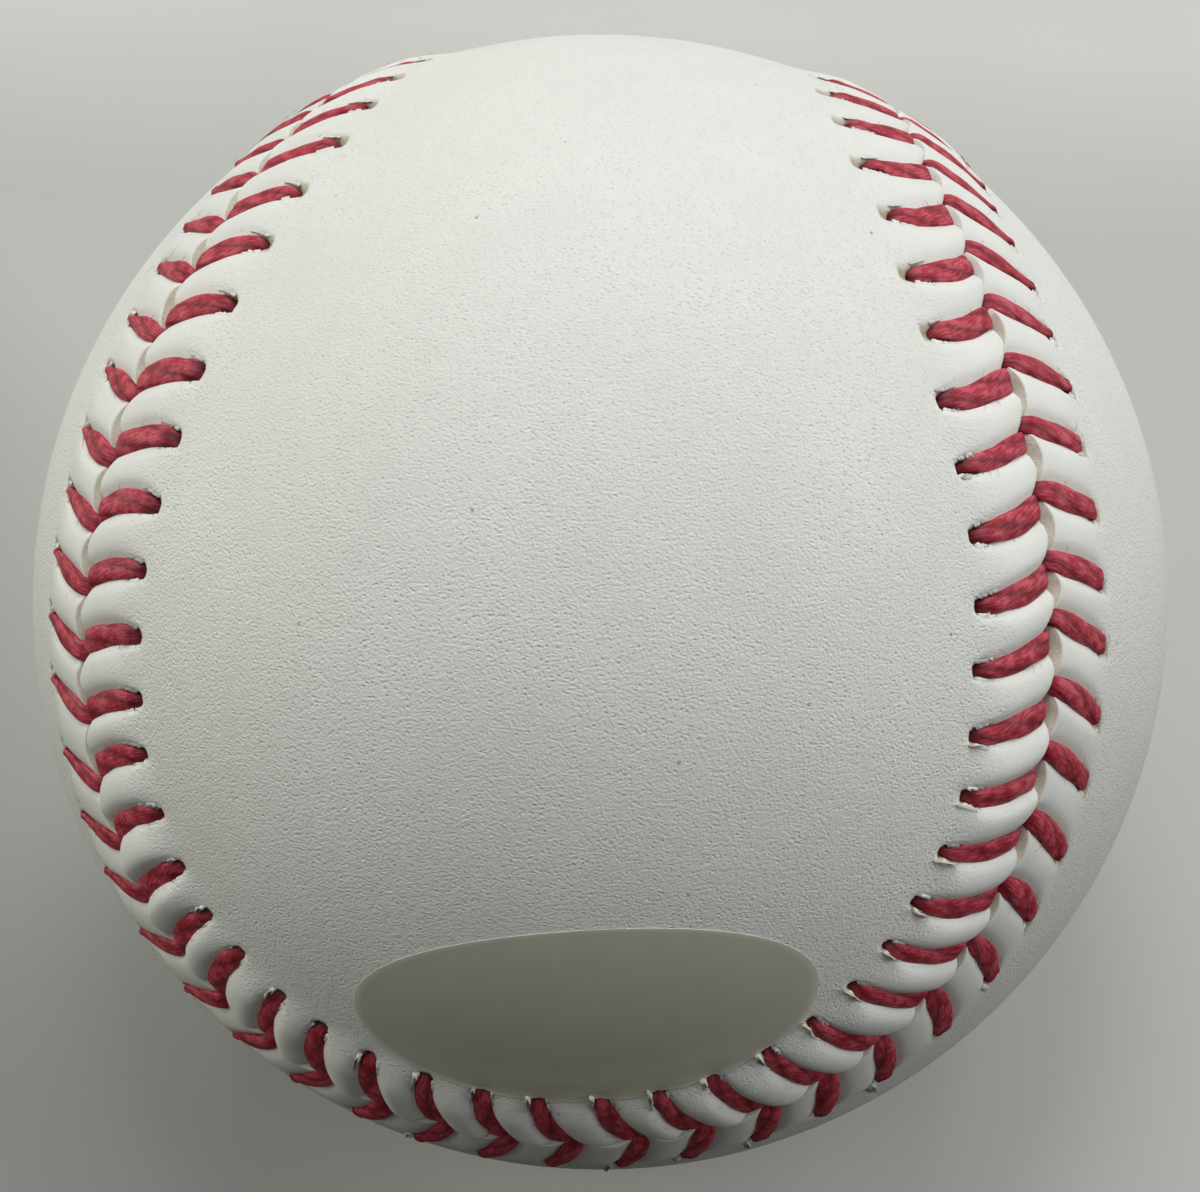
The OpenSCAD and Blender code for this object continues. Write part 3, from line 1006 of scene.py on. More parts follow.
@dataclass
class CoverPiece:
    """One figure-eight piece of leather, drawn in at the stitches and puffed between them."""

    plan: StitchPlan
    name: str
    node: str
    columns: int = 16
    coarse: int = 4
    margin_mm: float = 9.0
    inner_rows: int = 13
    under_rows: int = 16
    level_share: float = 0.25
    spine_share: float = 0.84
    wall_drops: Triple = (1.0, 0.66, 0.33)
    wall_bulge_mm: float = 0.05
    grain_span_mm: Span = (2.6, 6.4)
    raw_span: Span = (0.015, 0.1)
    bare_gap_mm: float = 0.06

    def rows(self) -> np.ndarray:
        """Space the margin's rows of points, close together at the edge and at the holes.

        Returns:
            Shares of the way from the edge to the end of the margin.
        """
        steps = [0.05, 0.07, 0.09, 0.11, 0.13, 0.15] + [0.27] * 12
        steps += [0.13] * 18 + [0.2, 0.28, 0.38, 0.5, 0.6, 0.7]
        ends = np.concatenate([[0], np.cumsum(steps)])
        return ends / ends[-1]

    def spine(self, u: np.ndarray) -> np.ndarray:
        """Find where on the piece's middle line places on its edge are joined to.

        Args:
            u: Places along the seam, in stitch spacings.

        Returns:
            Directions from the ball's centre.
        """
        sign = self.plan.side.value
        axes = self.plan.seam.axes
        lobe = axes @ (np.array([1.0, -sign, 0.0]) / math.sqrt(2))
        neck = axes @ np.array([0.0, 0.0, float(sign)])
        out, _, _ = self.plan.seam.frame_at(u)
        angle = np.arctan2(out @ neck, out @ lobe)
        angle = np.where(angle < -math.pi / 2, angle + 2 * math.pi, angle)
        angle = math.pi / 2 + (angle - math.pi / 2) * self.spine_share
        return np.cos(angle)[:, None] * lobe + np.sin(angle)[:, None] * neck

    def margin(self, u: np.ndarray) -> Tuple[List[np.ndarray], List[np.ndarray], List[np.ndarray]]:
        """Work out the cut wall and the sewn margin of the face.

        Args:
            u: Places along the seam, in stitch spacings.

        Returns:
            Rows of points from the foot of the wall inwards, how much grain each
            point shows, and how raw it is.
        """
        seam, plan, sign = self.plan.seam, self.plan, self.plan.side.value
        lip = plan.lip(u)
        edge_height = plan.height(u, lip)
        layers, grain, raw = [], [], []
        for drop in self.wall_drops:
            height = -LEATHER_MM * drop + edge_height * (1 - drop)
            bulge = self.wall_bulge_mm * math.sin(math.pi * drop) + plan.bevel(u) * drop
            layers.append(seam.place(u, sign * (lip - bulge), height))
            grain.append(np.zeros(len(u)))
            raw.append(np.zeros(len(u)))
        for share in self.rows():
            w = lip + share * (self.margin_mm - lip)
            layers.append(seam.place(u, sign * w, plan.height(u, w)))
            grain.append(smooth_step(*self.grain_span_mm, w))
            raw.append(np.maximum(smooth_step(*self.raw_span, plan.slit(u, w)), plan.recess(u, w)))
        return layers, grain, raw

    def closing(self, u: np.ndarray, top: bool, edge: int, total: int) -> Tuple[np.ndarray, Faces]:
        """Close the face or the underside with rings that shrink to the middle line.

        Args:
            u: Places along the seam of every fine point, in stitch spacings.
            top: Whether this is the face, not the underside.
            edge: Number of the first fine point that the rings start from.
            total: How many points the piece has so far.

        Returns:
            The rings' points and faces.
        """
        seam, plan, sign = self.plan.seam, self.plan, self.plan.side.value
        uc = u[::self.coarse]
        cols = len(uc)
        spine = self.spine(uc)
        start_w = np.full(cols, self.margin_mm) if top else plan.lip(uc) - plan.bevel(uc)
        height = plan.height(uc, start_w) if top else np.full(cols, -LEATHER_MM)
        start = seam.place(uc, sign * start_w, height)
        radii = np.linalg.norm(start, axis=1)
        rays = start / radii[:, None]
        angle = np.arccos(np.clip((rays * spine).sum(1), -1, 1))
        goal = seam.radius - (0.0 if top else LEATHER_MM * MM)
        rings = self.inner_rows if top else self.under_rows
        points: List[np.ndarray] = []
        faces: Faces = []
        for number in range(1, rings + 1):
            share = number / rings
            level = min(1.0, share / self.level_share)
            ring = unit(np.sin((1 - share) * angle)[:, None] * rays
                        + np.sin(share * angle)[:, None] * spine)
            points.append(ring * (radii * (1 - level) + goal * level)[:, None])
            outer = total - cols
            for here in range(cols):
                beside = (here + 1) % cols
                if number == 1:
                    fine = [edge + (here * self.coarse + j) % len(u) for j in range(self.coarse + 1)]
                    faces.append(tuple(fine + [total + beside, total + here]))
                else:
                    faces.append((outer + here, outer + beside, total + beside, total + here))
            total += cols
        return np.concatenate(points), faces

    def build(self, skin: Material, cut: Material) -> Piece:
        """Build the piece: face, rolled edge, cut wall and underside.

        The leather puffs and pits at hundreds of places that all differ, so its
        points are worked out from the seam instead of shaped with edit operators.

        Args:
            skin: The grain side's material.
            cut: The cut edge's and the underside's material.

        Returns:
            The closed piece.
        """
        count = STITCH_COUNT * self.columns
        u = np.arange(count) / self.columns
        points, grain, raw = self.margin(u)
        faces: Faces = []
        slots: List[int] = []
        # Where the gap is tight the white grain side is drawn down over the cut edge.
        bare = self.plan.gaping(u) > self.bare_gap_mm
        last = len(points) - 1
        for row in range(last):
            near, far = row * count, (row + 1) * count
            for here in range(count):
                beside = (here + 1) % count
                faces.append((near + here, near + beside, far + beside, far + here))
                slots.append(int(row < len(self.wall_drops) and bare[here]))
        for top in (True, False):
            total = sum(len(p) for p in points)
            more, closed = self.closing(u, top, last * count if top else 0, total)
            points.append(more)
            grain.append(np.full(len(more), float(top)))
            raw.append(np.zeros(len(more)))
            faces += closed
            slots += [0 if top else 1] * len(closed)
        piece = mesh_piece(self.name, np.concatenate(points), faces, [skin, cut], slots)
        point_values(piece, "grain", np.concatenate(grain))
        point_values(piece, "raw", np.concatenate(raw))
        weld(piece, COVER_WELD_MM * MM)
        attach(piece, BODY)
        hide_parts(self.node)
        return piece


def tube_faces(rings: int, sides: int, first: int) -> Faces:
    """Make the faces of a closed tube.

    Args:
        rings: How many rings of points follow each other.
        sides: How many points each ring has.
        first: Number of the first ring's first point.

    Returns:
        The faces along the tube and at its two ends.
    """
    faces: Faces = []
    for ring in range(rings - 1):
        for side in range(sides):
            here = first + ring * sides + side
            beside = first + ring * sides + (side + 1) % sides
            faces.append((here, beside, beside + sides, here + sides))
    faces.append(tuple(first + side for side in range(sides - 1, -1, -1)))
    faces.append(tuple(first + (rings - 1) * sides + side for side in range(sides)))
    return faces


def through(knots: np.ndarray, count: int) -> np.ndarray:
    """Run a smooth curve through knots.

    Args:
        knots: One row for each knot.
        count: How many points the curve gets.

    Returns:
        Points of the curve from the first knot to the last, which pass through each.
    """
    padded = np.concatenate([[2 * knots[0] - knots[1]], knots, [2 * knots[-1] - knots[-2]]])
    place = np.linspace(0, len(knots) - 1, count)
    i = np.minimum(place.astype(int), len(knots) - 2)
    t = (place - i)[:, None]
    before, start, end, after = (padded[i + n] for n in range(4))
    return 0.5 * (2 * start + (end - before) * t
                  + (2 * before - 5 * start + 4 * end - after) * t ** 2
                  + (3 * start - before - 3 * end + after) * t ** 3)


@dataclass
class ThreadStrand:
    """One needle's thread: the legs that it lays over the leather on either side in turn."""

    plans: Dict[Side, StitchPlan]
    first: Side
    name: str
    node: str
    plies: int = 3
    sides: int = 30
    rings: int = 28
    thick_mm: float = 0.74
    thinnest_share: float = 0.62
    flatness: float = 0.85
    shade_below_mm: float = 0.1
    shade_over_mm: float = 0.5
    shade_shares: Span = (0.8, 1.0)
    hole_shade: float = 0.75
    twist_per_mm: float = 0.5
    twist_error: float = 0.2
    groove_share: float = 0.24
    groove_power: float = 0.6
    map_w_mm: float = 3.6
    map_lean: float = 0.3
    map_steps_mm: Span = (5.1, 11.3)
    seed: int = 5

    def leg(self, i: int, plan: StitchPlan, rng: np.random.Generator
            ) -> Tuple[np.ndarray, np.ndarray, np.ndarray, np.ndarray]:
        """Work out one leg, twisted of plies and pressed flat.

        Args:
            i: The stitch's number.
            plan: The plan of the side that the leg lies on.
            rng: The source of how it is twisted.

        Returns:
            The leg's points, how deep each is in its hole or the gap, how deep in a
            groove, both of which its material paints as shade, and its place on the map that runs along the
            ply.
        """
        path = through(plan.leg_path(i), self.rings)
        centre = plan.seam.place(path[:, 0], plan.side.value * path[:, 1], path[:, 2])
        course = unit(np.gradient(centre, axis=0))
        _, ahead, _ = plan.seam.frame_at(path[:, 0])
        wide = unit(ahead - (ahead * course).sum(1, keepdims=True) * course)
        high = np.cross(course, wide)
        steps = np.linalg.norm(np.diff(centre, axis=0), axis=1) / MM
        run = np.concatenate([[0], np.cumsum(steps)])
        width = plan.leg_width(np.full(self.rings, i), path[:, 1])
        thick = self.thick_mm * np.clip(width / plan.leg_w_mm, self.thinnest_share, 1.0)
        # Painted shade: the thread is darkened where it sinks below the leather and near its hole.
        sunk = np.clip((self.shade_below_mm - path[:, 2]) / self.shade_over_mm, 0, 1)
        near_hole = smooth_step(*self.shade_shares, path[:, 1] / float(plan.reach_of(np.array(i))))
        dark = np.maximum(sunk, self.hole_shade * near_hole)
        start = rng.uniform(0, 2 * math.pi)
        twist = self.twist_per_mm * (1 + rng.normal(0, self.twist_error))
        around = np.linspace(0, 2 * math.pi, self.sides, endpoint=False)
        ply = self.plies * (around[None, :] - start - (twist * run)[:, None]) / 2
        valley = 1 - np.abs(np.sin(ply)) ** self.groove_power
        swell = (1 - self.groove_share * valley) / 2
        pressed = np.abs(np.sin(around)) ** self.flatness * np.sign(np.sin(around))
        x = np.cos(around)[None, :] * swell * width[:, None] * MM
        y = pressed[None, :] * swell * thick[:, None] * MM
        points = (centre[:, None, :] + wide[:, None, :] * x[..., None] + high[:, None, :] * y[..., None])
        # Each leg has its own part of the map, so that no two look alike.
        turned = np.abs(around - math.pi) / (2 * math.pi) * self.map_w_mm
        across = (turned[None, :] - (self.map_lean * twist * run)[:, None]).ravel()
        along = np.repeat(run, self.sides)
        ply_map = np.stack([across, along], 1) + np.array(self.map_steps_mm) * i
        return points.reshape(-1, 3), np.repeat(dark, self.sides), valley.ravel(), ply_map

    def build(self, material: Material) -> Piece:
        """Build the strand's legs.

        Args:
            material: The thread's material.

        Returns:
            The piece with all the legs.
        """
        rng = np.random.default_rng(self.seed + self.first.value)
        turns = (self.first, Side(-self.first.value))
        legs = [self.leg(i, self.plans[turns[i % 2]], rng) for i in range(STITCH_COUNT)]
        points, depths, valleys, maps = (np.concatenate(part) for part in zip(*legs))
        faces: Faces = []
        for i in range(STITCH_COUNT):
            faces += tube_faces(self.rings, self.sides, i * self.rings * self.sides)
        piece = mesh_piece(self.name, points, faces, [material])
        # The painted shade in the holes, the gap and the grooves, which the thread's material reads.
        point_values(piece, "depth", depths)
        point_values(piece, "groove", valleys)
        layer = piece.data.uv_layers.new(name="ply")
        corners = np.zeros(len(piece.data.loops), int)
        piece.data.loops.foreach_get("vertex_index", corners)
        layer.data.foreach_set("uv", maps[corners].ravel())
        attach(piece, BODY)
        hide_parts(self.node)
        return piece


@dataclass(frozen=True)
class Sliver:
    """One torn bit of leather beside a slit: where it is, how long, how far over and how high."""

    way: int
    shape: np.ndarray
    at_mm: float
    length_mm: float
    tip_mm: float
    lift_mm: float


@dataclass
class TornLips:
    """Flakes and flaps of leather that the needle tore up beside each stitch hole."""

    plan: StitchPlan
    name: str
    apart_mm: float = 0.42
    first_mm: float = 0.1
    place_shares: Span = (0.05, 0.95)
    flake_length_mm: Span = (0.2, 0.42)
    flake_tip_mm: Span = (0.03, 0.12)
    flake_lift_mm: float = 0.03
    flap_at_mm: Span = (-0.35, 0.0)
    flap_length_mm: Span = (0.55, 0.9)
    flap_tip_mm: Span = (-0.7, -0.45)
    flap_lift_mm: Span = (0.36, 0.66)
    flap_sizes: Span = (0.35, 1.0)
    other_side_chance: float = 0.2
    other_side_size: float = 0.5
    ragged: Span = (0.7, 1.3)
    thick_mm: float = 0.05
    root_out_mm: float = 0.3
    root_sunk_mm: float = 0.08
    beside_mm: float = 0.08
    foot_out_mm: float = 0.16
    crown_mm: float = 0.36
    clear_mm: float = 0.02
    wedge_mm: float = 0.1
    seed: int = 31

    def slivers(self, i: int, rng: np.random.Generator) -> List[Sliver]:
        """Draw the flakes and flaps of one hole, on both sides of its slit.

        Args:
            i: The stitch's number.
            rng: The source of their number, places and sizes.

        Returns:
            The slivers, those on the side that the thread pulls to first.
        """
        found: List[Sliver] = []
        torn = self.plan.torn[i]
        for way, flakes in zip((-1, 1), self.plan.flakes):
            for n in range(flakes):
                at = self.first_mm - (n + rng.uniform(*self.place_shares)) * self.apart_mm
                length = rng.uniform(*self.flake_length_mm)
                tip = rng.uniform(*self.flake_tip_mm)
                found.append(Sliver(way, FLAKE, at, length, tip, self.flake_lift_mm))
            if rng.uniform() < torn * (1.0 if way < 0 else self.other_side_chance):
                # The thread pushed the lip up, more on the side that it pulls to.
                size = between(self.flap_sizes, torn) * (1.0 if way < 0 else self.other_side_size)
                at = rng.uniform(*self.flap_at_mm)
                length = rng.uniform(*self.flap_length_mm) * size
                tip = rng.uniform(*self.flap_tip_mm) * size
                found.append(Sliver(way, FLAP, at, length, tip, rng.uniform(*self.flap_lift_mm) * size))
        return found

    def corners(self, i: int, sliver: Sliver, rng: np.random.Generator) -> Tuple[np.ndarray, np.ndarray]:
        """Place a sliver on the leather.

        Args:
            i: The stitch's number.
            sliver: What it is like.
            rng: The source of its ragged outline.

        Returns:
            The corners of its upper and lower face.
        """
        plan, shape = self.plan, sliver.shape
        path = plan.leg_path(i)[::-1]
        uneven = rng.uniform(*self.ragged, shape.shape)
        along, over, lift = (shape * uneven).T * np.array(
            [[sliver.length_mm], [sliver.tip_mm], [sliver.lift_mm]])
        is_flake = sliver.tip_mm > 0
        root = is_flake & (shape[:, 1] == 0)
        over -= np.where(root, self.root_out_mm, 0.0)
        w = float(plan.end_of(np.array(i))) + sliver.at_mm + along
        number = np.full(len(shape), i)
        middle = plan.leg_offset(number, w)
        half = plan.leg_width(number, np.minimum(w, plan.end_of(number))) / 2
        out = half + self.beside_mm - over
        foot_u, u = (i + FIRST_STITCH_SHARE + (middle + sliver.way * aside) / plan.seam.pitch_mm
                     for aside in (half + self.foot_out_mm, out))
        ground = plan.bed(foot_u, w)
        round_off = np.sqrt(np.clip(1 - (out / half) ** 2, 0, 1))
        crown = np.interp(w, path[:, 1], path[:, 2]) + self.crown_mm * round_off
        # A flake rises out of the leather beside the slit. A flap is a wedge of it, whose
        # torn wall stands at the slit.
        lift = np.where(root, -self.root_sunk_mm, lift)
        height = np.maximum(ground, np.where(out < half, crown, ground)) + self.clear_mm + lift
        wedge = np.minimum(ground - self.wedge_mm, height - self.clear_mm)
        foot = height - self.thick_mm if is_flake else wedge
        sign = plan.side.value
        return plan.seam.place(u, sign * w, height), plan.seam.place(u, sign * w, foot)

    def build(self, skin: Material, cut: Material) -> Piece:
        """Build ragged flakes and flaps along each slit.

        Args:
            skin: The material of their grain side.
            cut: The material of their torn edges.

        Returns:
            The piece with all of them.
        """
        rng = np.random.default_rng(self.seed + self.plan.side.value)
        points: List[np.ndarray] = []
        faces: Faces = []
        slots: List[int] = []
        for i in range(STITCH_COUNT):
            for sliver in self.slivers(i, rng):
                top, low = self.corners(i, sliver, rng)
                count = len(top)
                first = len(points) * count
                points += [top, low]
                under = first + count
                faces.append(tuple(first + here for here in range(count)))
                faces.append(tuple(under + here for here in reversed(range(count))))
                for here in range(count):
                    beside = (here + 1) % count
                    faces.append((first + here, under + here, under + beside, first + beside))
                slots += [0] + [1] * (count + 1)
        piece = mesh_piece(self.name, np.concatenate(points), faces, [skin, cut], slots)
        point_values(piece, "grain", np.zeros(len(piece.data.vertices)))
        weld(piece, FINE_WELD_MM * MM)
        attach(piece, BODY)
        return piece


@dataclass
class ThreadFuzz:
    """Loose fibres that stand off the legs of both threads.

    They are drawn a little thicker than real cotton fibres, so that they show.
    """

    plans: Dict[Side, StitchPlan]
    name: str = "thread_fibres"
    per_leg: int = 6
    radius_mm: float = 0.014
    thinned_share: float = 0.6
    place_shares: Span = (0.12, 0.98)
    edge_shares: Span = (0.75, 1.0)
    height_mm: Span = (0.1, 0.5)
    aim_ahead: Span = (0.2, 1.0)
    aim_across: float = 0.6
    aim_out: Span = (-0.05, 0.5)
    curl: float = 0.5
    curl_down: float = 0.35
    curl_share: float = 0.6
    length_shares: Span = (0.12, 0.5)
    length_power: float = 1.3
    length_mm: float = 1.4
    rings: int = 5
    sides: int = 3
    seed: int = 77

    def fibre(self, i: int, plan: StitchPlan, rng: np.random.Generator) -> List[np.ndarray]:
        """Draw one loose fibre as a thin curved tube.

        Args:
            i: The stitch's number.
            plan: The plan of the side that the leg lies on.
            rng: The source of its place and shape.

        Returns:
            The points of its rings.
        """
        number = np.array(i)
        w = float(plan.reach_of(number)) * rng.uniform(*self.place_shares)
        half = float(plan.leg_width(number, np.array(w))) / 2
        edge = rng.choice([-1, 1]) * rng.uniform(*self.edge_shares)
        offset = float(plan.leg_offset(number, np.array(w))) + edge * half
        u = np.array([i + FIRST_STITCH_SHARE + offset / plan.seam.pitch_mm])
        height = plan.bed(u, np.array([w])) + rng.uniform(*self.height_mm)
        root = plan.seam.place(u, np.array([plan.side.value * w]), height)[0]
        out, ahead, across = (way[0] for way in plan.seam.frame_at(u))
        aim = (ahead * math.copysign(1, edge) * rng.uniform(*self.aim_ahead)
               + across * rng.normal(0, self.aim_across) + out * rng.uniform(*self.aim_out))
        curl = ahead * rng.normal(0, self.curl) + across * rng.normal(0, self.curl) - out * self.curl_down
        length = rng.uniform(*self.length_shares) ** self.length_power * self.length_mm * MM
        t = np.linspace(0, 1, self.rings)[:, None]
        middle = root + (aim * t + curl * t * t * self.curl_share) * length
        thin = self.radius_mm * MM * (1 - self.thinned_share * t)
        angles = [j * 2 * math.pi / self.sides for j in range(self.sides)]
        return [middle[r] + (out * math.cos(a) + across * math.sin(a)) * thin[r]
                for r in range(self.rings) for a in angles]

    def build(self, material: Material) -> Piece:
        """Build all the fibres.

        Args:
            material: The thread's material.

        Returns:
            The piece with all the fibres.
        """
        rng = np.random.default_rng(self.seed)
        points: List[np.ndarray] = []
        faces: Faces = []
        for plan in self.plans.values():
            for i in range(STITCH_COUNT):
                for _ in range(self.per_leg):
                    faces += tube_faces(self.rings, self.sides, len(points))
                    points += self.fibre(i, plan, rng)
        piece = mesh_piece(self.name, np.array(points), faces, [material])
        point_values(piece, "depth", np.zeros(len(points)))
        piece.data.uv_layers.new(name="ply")
        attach(piece, BODY)
        return piece


@dataclass
class OvalLabel:
    """A blank oval of film pressed on the leather under the middle of the front lobe."""

    plan: StitchPlan
    length_mm: float = 25.2
    width_mm: float = 13.2
    film_mm: float = 0.09
    float_mm: float = 0.03
    near_seam_mm: float = 0.07
    near_fade_mm: float = 2.5
    near_reach: float = 1.6
    puffed_mm: float = 9.0
    seam_step: float = 0.05
    rim_shares: Span = (0.965, 1.0)
    crease_deg: float = 40.0
    drop_deg: float = 44.8
    right_deg: float = 4.9
    turn_deg: float = 7.6
    rings: int = 26
    ring_power: float = 1.3
    corners: int = 120

    def disc(self) -> Piece:
        """Model a flat disc of rings, which lie closer together at its rim.

        Returns:
            The disc, with a radius of 1.
        """
        bpy.ops.object.select_all(action="DESELECT")
        bpy.ops.mesh.primitive_circle_add(vertices=self.corners, radius=1.0, fill_type="NOTHING")
        piece = bpy.context.object
        piece.name = "oval_label"
        piece.data.name = "oval_label"
        bpy.ops.object.mode_set(mode="EDIT")
        bpy.ops.mesh.select_all(action="SELECT")
        last = 1.0
        for share in 1 - (np.arange(1, self.rings) / self.rings) ** self.ring_power:
            bpy.ops.mesh.extrude_region_move()
            scale = float(share / last)
            bpy.ops.transform.resize(value=(scale, scale, scale))
            last = share
        bpy.ops.mesh.merge(type="CENTER")
        bpy.ops.object.mode_set(mode="OBJECT")
        return piece

    def build(self, material: Material) -> Piece:
        """Model the film from a flat disc, lay it on the leather and give it its thickness.

        Args:
            material: The film's material.

        Returns:
            The label.
        """
        piece = self.disc()
        flat = np.array([v.co for v in piece.data.vertices])
        edge = np.linalg.norm(flat[:, :2], axis=1)
        seam = self.plan.seam
        lean = Matrix.Rotation(math.radians(90 - LOBE_TILT_DEG + self.drop_deg), 3, "X")
        lean = lean @ Matrix.Rotation(math.radians(self.right_deg), 3, "Y")
        lean = lean @ Matrix.Rotation(math.radians(self.turn_deg), 3, "Z")
        x = flat[:, 0] * self.length_mm / 2 * MM
        y = flat[:, 1] * self.width_mm / 2 * MM
        z = np.sqrt(seam.radius ** 2 - x ** 2 - y ** 2)
        rays = unit(np.stack([x, y, z], 1) @ np.array(lean).T)
        # Where it comes near the seam, it rides over the leather that puffs up there.
        u = np.arange(0, STITCH_COUNT, self.seam_step)
        out, _, _ = seam.frame_at(u)
        nearest = np.argmax(rays @ out.T, axis=1)
        w = np.arccos(np.clip((rays * out[nearest]).sum(1), -1, 1)) * seam.radius / MM
        near = self.plan.reach_mm * self.near_reach
        bed = np.maximum(self.plan.bed(u[nearest], w), 0)
        lift = np.where(w < self.puffed_mm, bed, 0) + self.float_mm
        lift = lift + self.near_seam_mm * (1 - smooth_step(near - self.near_fade_mm, near, w))
        for vertex, ray, up in zip(piece.data.vertices, rays, lift):
            vertex.co = ray * (seam.radius + up * MM)
        piece.data.materials.append(material)
        # How near each point is to the rim, where the film's material paints a highlight.
        point_values(piece, "rim", smooth_step(*self.rim_shares, edge))
        select_only(piece)
        solid = piece.modifiers.new("film", "SOLIDIFY")
        solid.thickness = self.film_mm * MM
        solid.offset = 1.0
        bpy.ops.object.modifier_apply(modifier="film")
        bpy.ops.object.shade_smooth_by_angle(angle=math.radians(self.crease_deg))
        weld(piece, FINE_WELD_MM * MM)
        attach(piece, BODY)
        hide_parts("label")
        return piece


@dataclass
class Layers:
    """The core and the windings, which keep their shapes and get their materials."""

    grey_wool_mm: float = 1.1
    white_wool_mm: float = 0.9
    fine_yarn_mm: float = 0.5

    def dress(self) -> None:
        """Give every hidden layer the material that it is made of."""
        grey_wool = WoundYarn("four-ply grey wool", "8f9092", "4f5053", self.grey_wool_mm).make()
        white_wool = WoundYarn("three-ply white wool", "e8e3d6", "a9a390", self.white_wool_mm).make()
        fine_yarn = WoundYarn("fine white finishing yarn", "efece2", "b9b4a5", self.fine_yarn_mm).make()
        black = MouldedRubber("black moulded rubber", "2a2a2b", "141415").make()
        red = MouldedRubber("red moulded rubber", "a8352c", "7c221d").make()
        washer = MouldedRubber("red washer rubber", "b8402f", "8c2a20").make()
        cork = GroundCork().make()
        finishes = {
            "cork_nucleus": cork, "black_shell_lower": black, "black_shell_upper": black,
            "shell_gasket": washer, "red_shell_lower": red, "red_shell_upper": red,
            "first_winding": grey_wool, "second_winding": white_wool,
            "third_winding": grey_wool, "finishing_winding": fine_yarn,
        }
        for node, material in finishes.items():
            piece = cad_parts[node]
            piece.data.materials.clear()
            piece.data.materials.append(material)
            LOG.info("layer %s is %s", node, material.name)


@dataclass(frozen=True)
class Lamp:
    """A square soft lamp that looks at the ball's centre."""

    name: str
    place: Triple
    size: float
    watts: float
    tint: Triple = (1.0, 1.0, 1.0)

    def hang(self) -> None:
        """Hang the lamp at its place."""
        light = bpy.data.lights.new(self.name, "AREA")
        light.shape = "SQUARE"
        light.size = self.size
        light.energy = self.watts
        light.color = self.tint
        lamp = bpy.data.objects.new(self.name, light)
        lamp.location = self.place
        lamp.rotation_euler = (-Vector(self.place)).to_track_quat("-Z", "Y").to_euler()
        bpy.context.scene.collection.objects.link(lamp)


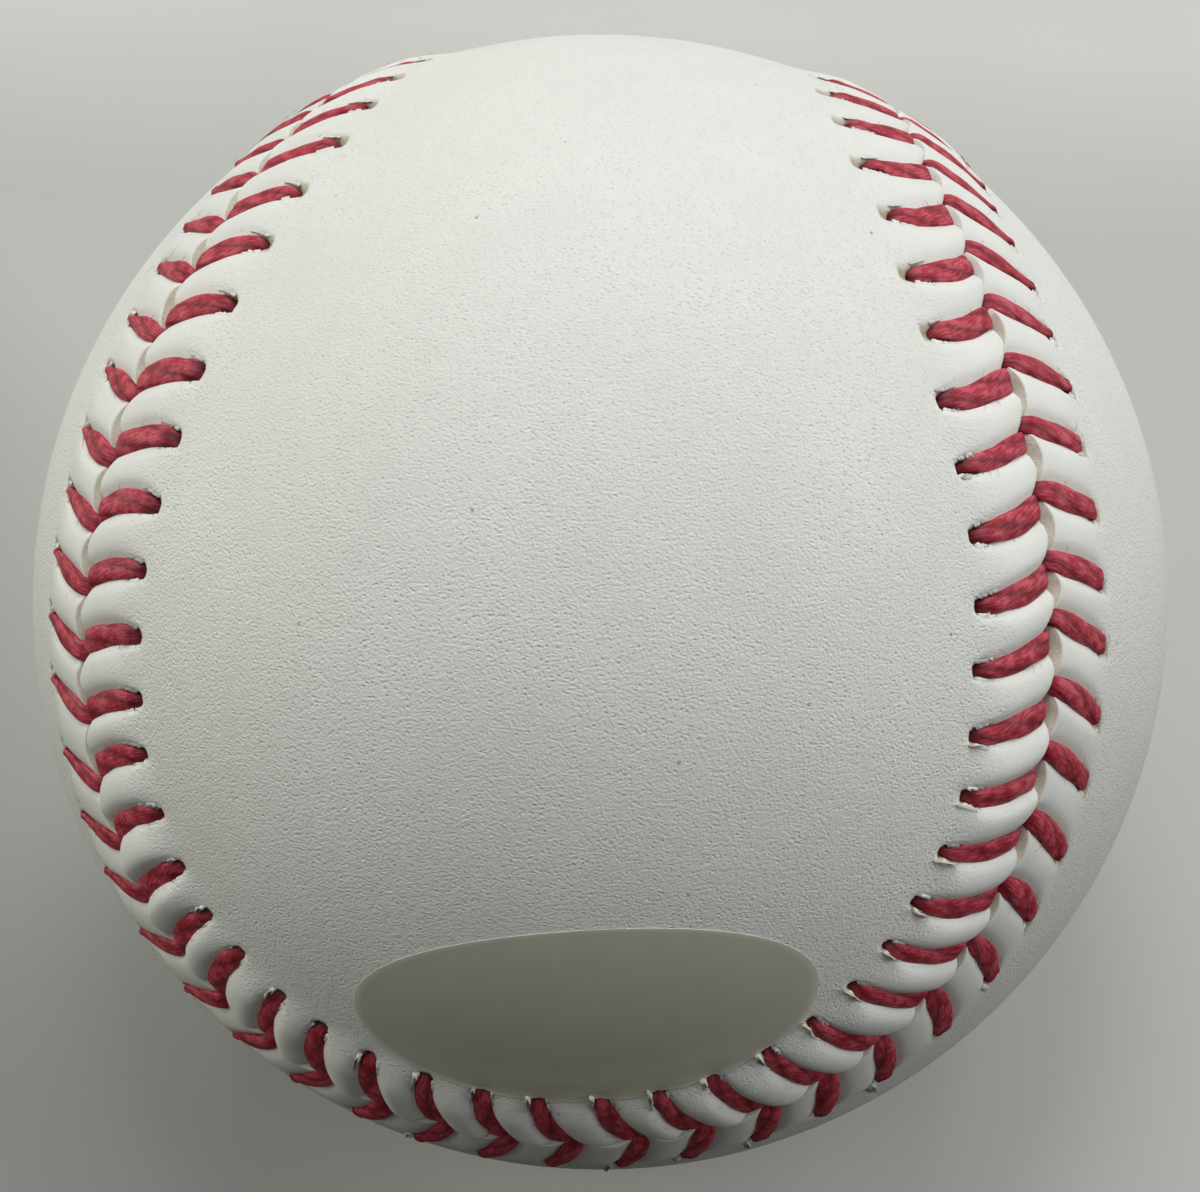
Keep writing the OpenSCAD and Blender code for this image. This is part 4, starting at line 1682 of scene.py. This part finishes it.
@dataclass
class Studio:
    """The paper floor, the lamps, the world and the camera.

    The camera's angles, its distance and its shift aside, both in shares of the
    ball's radius, and its focal length, in the photograph's pixels, were fitted to
    the ball's outline and its stitches.
    """

    radius: float
    view_right_deg: float = 4.82
    view_down_deg: float = 7.29
    roll_deg: float = 4.74
    distance: float = 3.6764
    aside: Span = (-0.0004, 0.0101)
    focal_px: float = 2008.1
    picture_px: float = 1200.0
    sensor_mm: float = 36.0
    near_clip: float = 0.01
    paper_size: float = 8.0
    backdrop: float = 0.62
    fill: float = 0.005
    lamps: Tuple[Lamp, ...] = (
        Lamp("key_lamp", (0.0, 0.0, 1.2), 0.8, 5.8),
        Lamp("front_lamp", (0.0, -0.5, 1.1), 0.8, 2.3),
        Lamp("back_lamp", (0.0, 0.45, 1.1), 0.9, 4.3),
        Lamp("left_lamp", (-1.1, 0.0, 0.42), 0.8, 5.7, (1.0, 1.0, 0.9)),
        Lamp("right_lamp", (1.1, 0.0, 0.42), 0.8, 5.2),
        Lamp("rear_right_lamp", (0.75, 0.75, 0.6), 0.8, 1.8))

    def floor(self, lowest: float) -> Piece:
        """Lay the paper under the ball.

        Args:
            lowest: Height of the ball's lowest point.

        Returns:
            The floor.
        """
        bpy.ops.object.select_all(action="DESELECT")
        bpy.ops.mesh.primitive_plane_add(size=self.paper_size, location=(0, 0, lowest))
        paper = bpy.context.object
        paper.name = "paper"
        paper.data.transform(Matrix.Translation((0, 0, lowest)))
        paper.location = (0, 0, 0)
        paper.data.materials.append(StudioPaper().make())
        return paper

    def world(self) -> None:
        """Set a world that shows pale grey and adds next to no light."""
        world = bpy.data.worlds.new("studio")
        world.use_nodes = True
        tree = world.node_tree
        tree.nodes.clear()
        seen = add_node(tree, "LightPath", out="Is Camera Ray")
        seen = add_node(tree, "Math", {0: seen, 1: seen.node.outputs["Is Glossy Ray"]},
                        operation="MAXIMUM")
        fill = add_node(tree, "Background", {"Color": (1.0, 1.0, 0.96, 1.0), "Strength": self.fill})
        shown = add_node(tree, "Background", {"Color": grey(self.backdrop), "Strength": 1.0})
        mixed = add_node(tree, "MixShader", {0: seen, 1: fill, 2: shown})
        add_node(tree, "OutputWorld", {"Surface": mixed})
        bpy.context.scene.world = world

    def camera(self) -> None:
        """Place the camera as the photograph's stood."""
        tilt = math.radians(LOBE_TILT_DEG)
        right = Vector((1, 0, 0))
        neck = Vector((0, math.sin(tilt), math.cos(tilt)))
        lobe = Vector((0, -math.cos(tilt), math.sin(tilt)))
        down = math.radians(self.view_down_deg)
        aside = math.radians(self.view_right_deg)
        back = (lobe * math.cos(aside) + right * math.sin(aside)) * math.cos(down) - neck * math.sin(down)
        level = neck.cross(back).normalized()
        up = back.cross(level)
        roll = math.radians(self.roll_deg)
        x_axis = level * math.cos(roll) + up * math.sin(roll)
        y_axis = back.cross(x_axis)
        place = (back * self.distance + x_axis * self.aside[0] + y_axis * self.aside[1]) * self.radius
        data = bpy.data.cameras.new("camera")
        data.sensor_width = self.sensor_mm
        data.lens = self.focal_px / self.picture_px * self.sensor_mm
        data.clip_start = self.near_clip
        camera = bpy.data.objects.new("camera", data)
        turn = Matrix((x_axis, y_axis, back)).transposed().to_4x4()
        camera.matrix_world = Matrix.Translation(place) @ turn
        bpy.context.scene.collection.objects.link(camera)
        bpy.context.scene.camera = camera

    def build(self, lowest: float) -> None:
        """Build the whole studio round the ball.

        Args:
            lowest: Height of the ball's lowest point.
        """
        self.floor(lowest)
        for lamp in self.lamps:
            lamp.hang()
        self.world()
        self.camera()
        bpy.context.scene.view_settings.view_transform = "Standard"


def stitch_plans(seam: Seam) -> Dict[Side, StitchPlan]:
    """Plan both sides' stitches.

    The front side's are the plan's own sizes. The back side's legs are narrower and
    straighter, and its edge is drawn up and cut plain, so that it shows as a tan line
    in the gap.

    Args:
        seam: The seam that both sides share.

    Returns:
        Each side's plan.
    """
    back = StitchPlan(
        seam, Side.BACK, BACK_HABITS, slant_mm=1.4, bow=0.85, dive_mm=-0.15, dive_w_mm=-0.15,
        leg_w_mm=1.5, puff_mm=0.34, puff_turn=0.0, notch_mm=-0.3, tuck_mm=0.1, roll_w_mm=0.16,
        roll_h_mm=0.08, slit_deep_mm=0.55, sink_mm=0.9, flakes=(1, 1))
    return {Side.FRONT: StitchPlan(seam, Side.FRONT, FRONT_HABITS), Side.BACK: back}


def main() -> None:
    """Build the ball, dress it, and set the studio round it."""
    logging.basicConfig(level=logging.INFO, format="%(name)s: %(message)s")
    low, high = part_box("cover_front")
    radius = (high.y - low.y) / 2
    seam = Seam(radius)
    LOG.info("stitches are %.3f mm apart", seam.pitch_mm)
    plans = stitch_plans(seam)
    skin, cut, thread = TawedLeather().make(), CutLeather().make(), WaxedThread().make()
    pieces = [
        CoverPiece(plans[Side.FRONT], "leather_front", "cover_front").build(skin, cut),
        CoverPiece(plans[Side.BACK], "leather_back", "cover_back").build(skin, cut),
        ThreadStrand(plans, Side.FRONT, "stitches_left_needle", "thread_left_needle").build(thread),
        ThreadStrand(plans, Side.BACK, "stitches_right_needle", "thread_right_needle").build(thread),
        TornLips(plans[Side.FRONT], "torn_lips_front").build(skin, cut),
        TornLips(plans[Side.BACK], "torn_lips_back").build(skin, cut),
        ThreadFuzz(plans).build(thread),
        OvalLabel(plans[Side.FRONT]).build(LabelFilm().make()),
    ]
    for piece in pieces:
        LOG.info("%s has %d faces", piece.name, len(piece.data.polygons))
    Layers().dress()
    Studio(radius).build(float(CAD_BOX[0][2]))


if __name__ == "__main__":
    main()
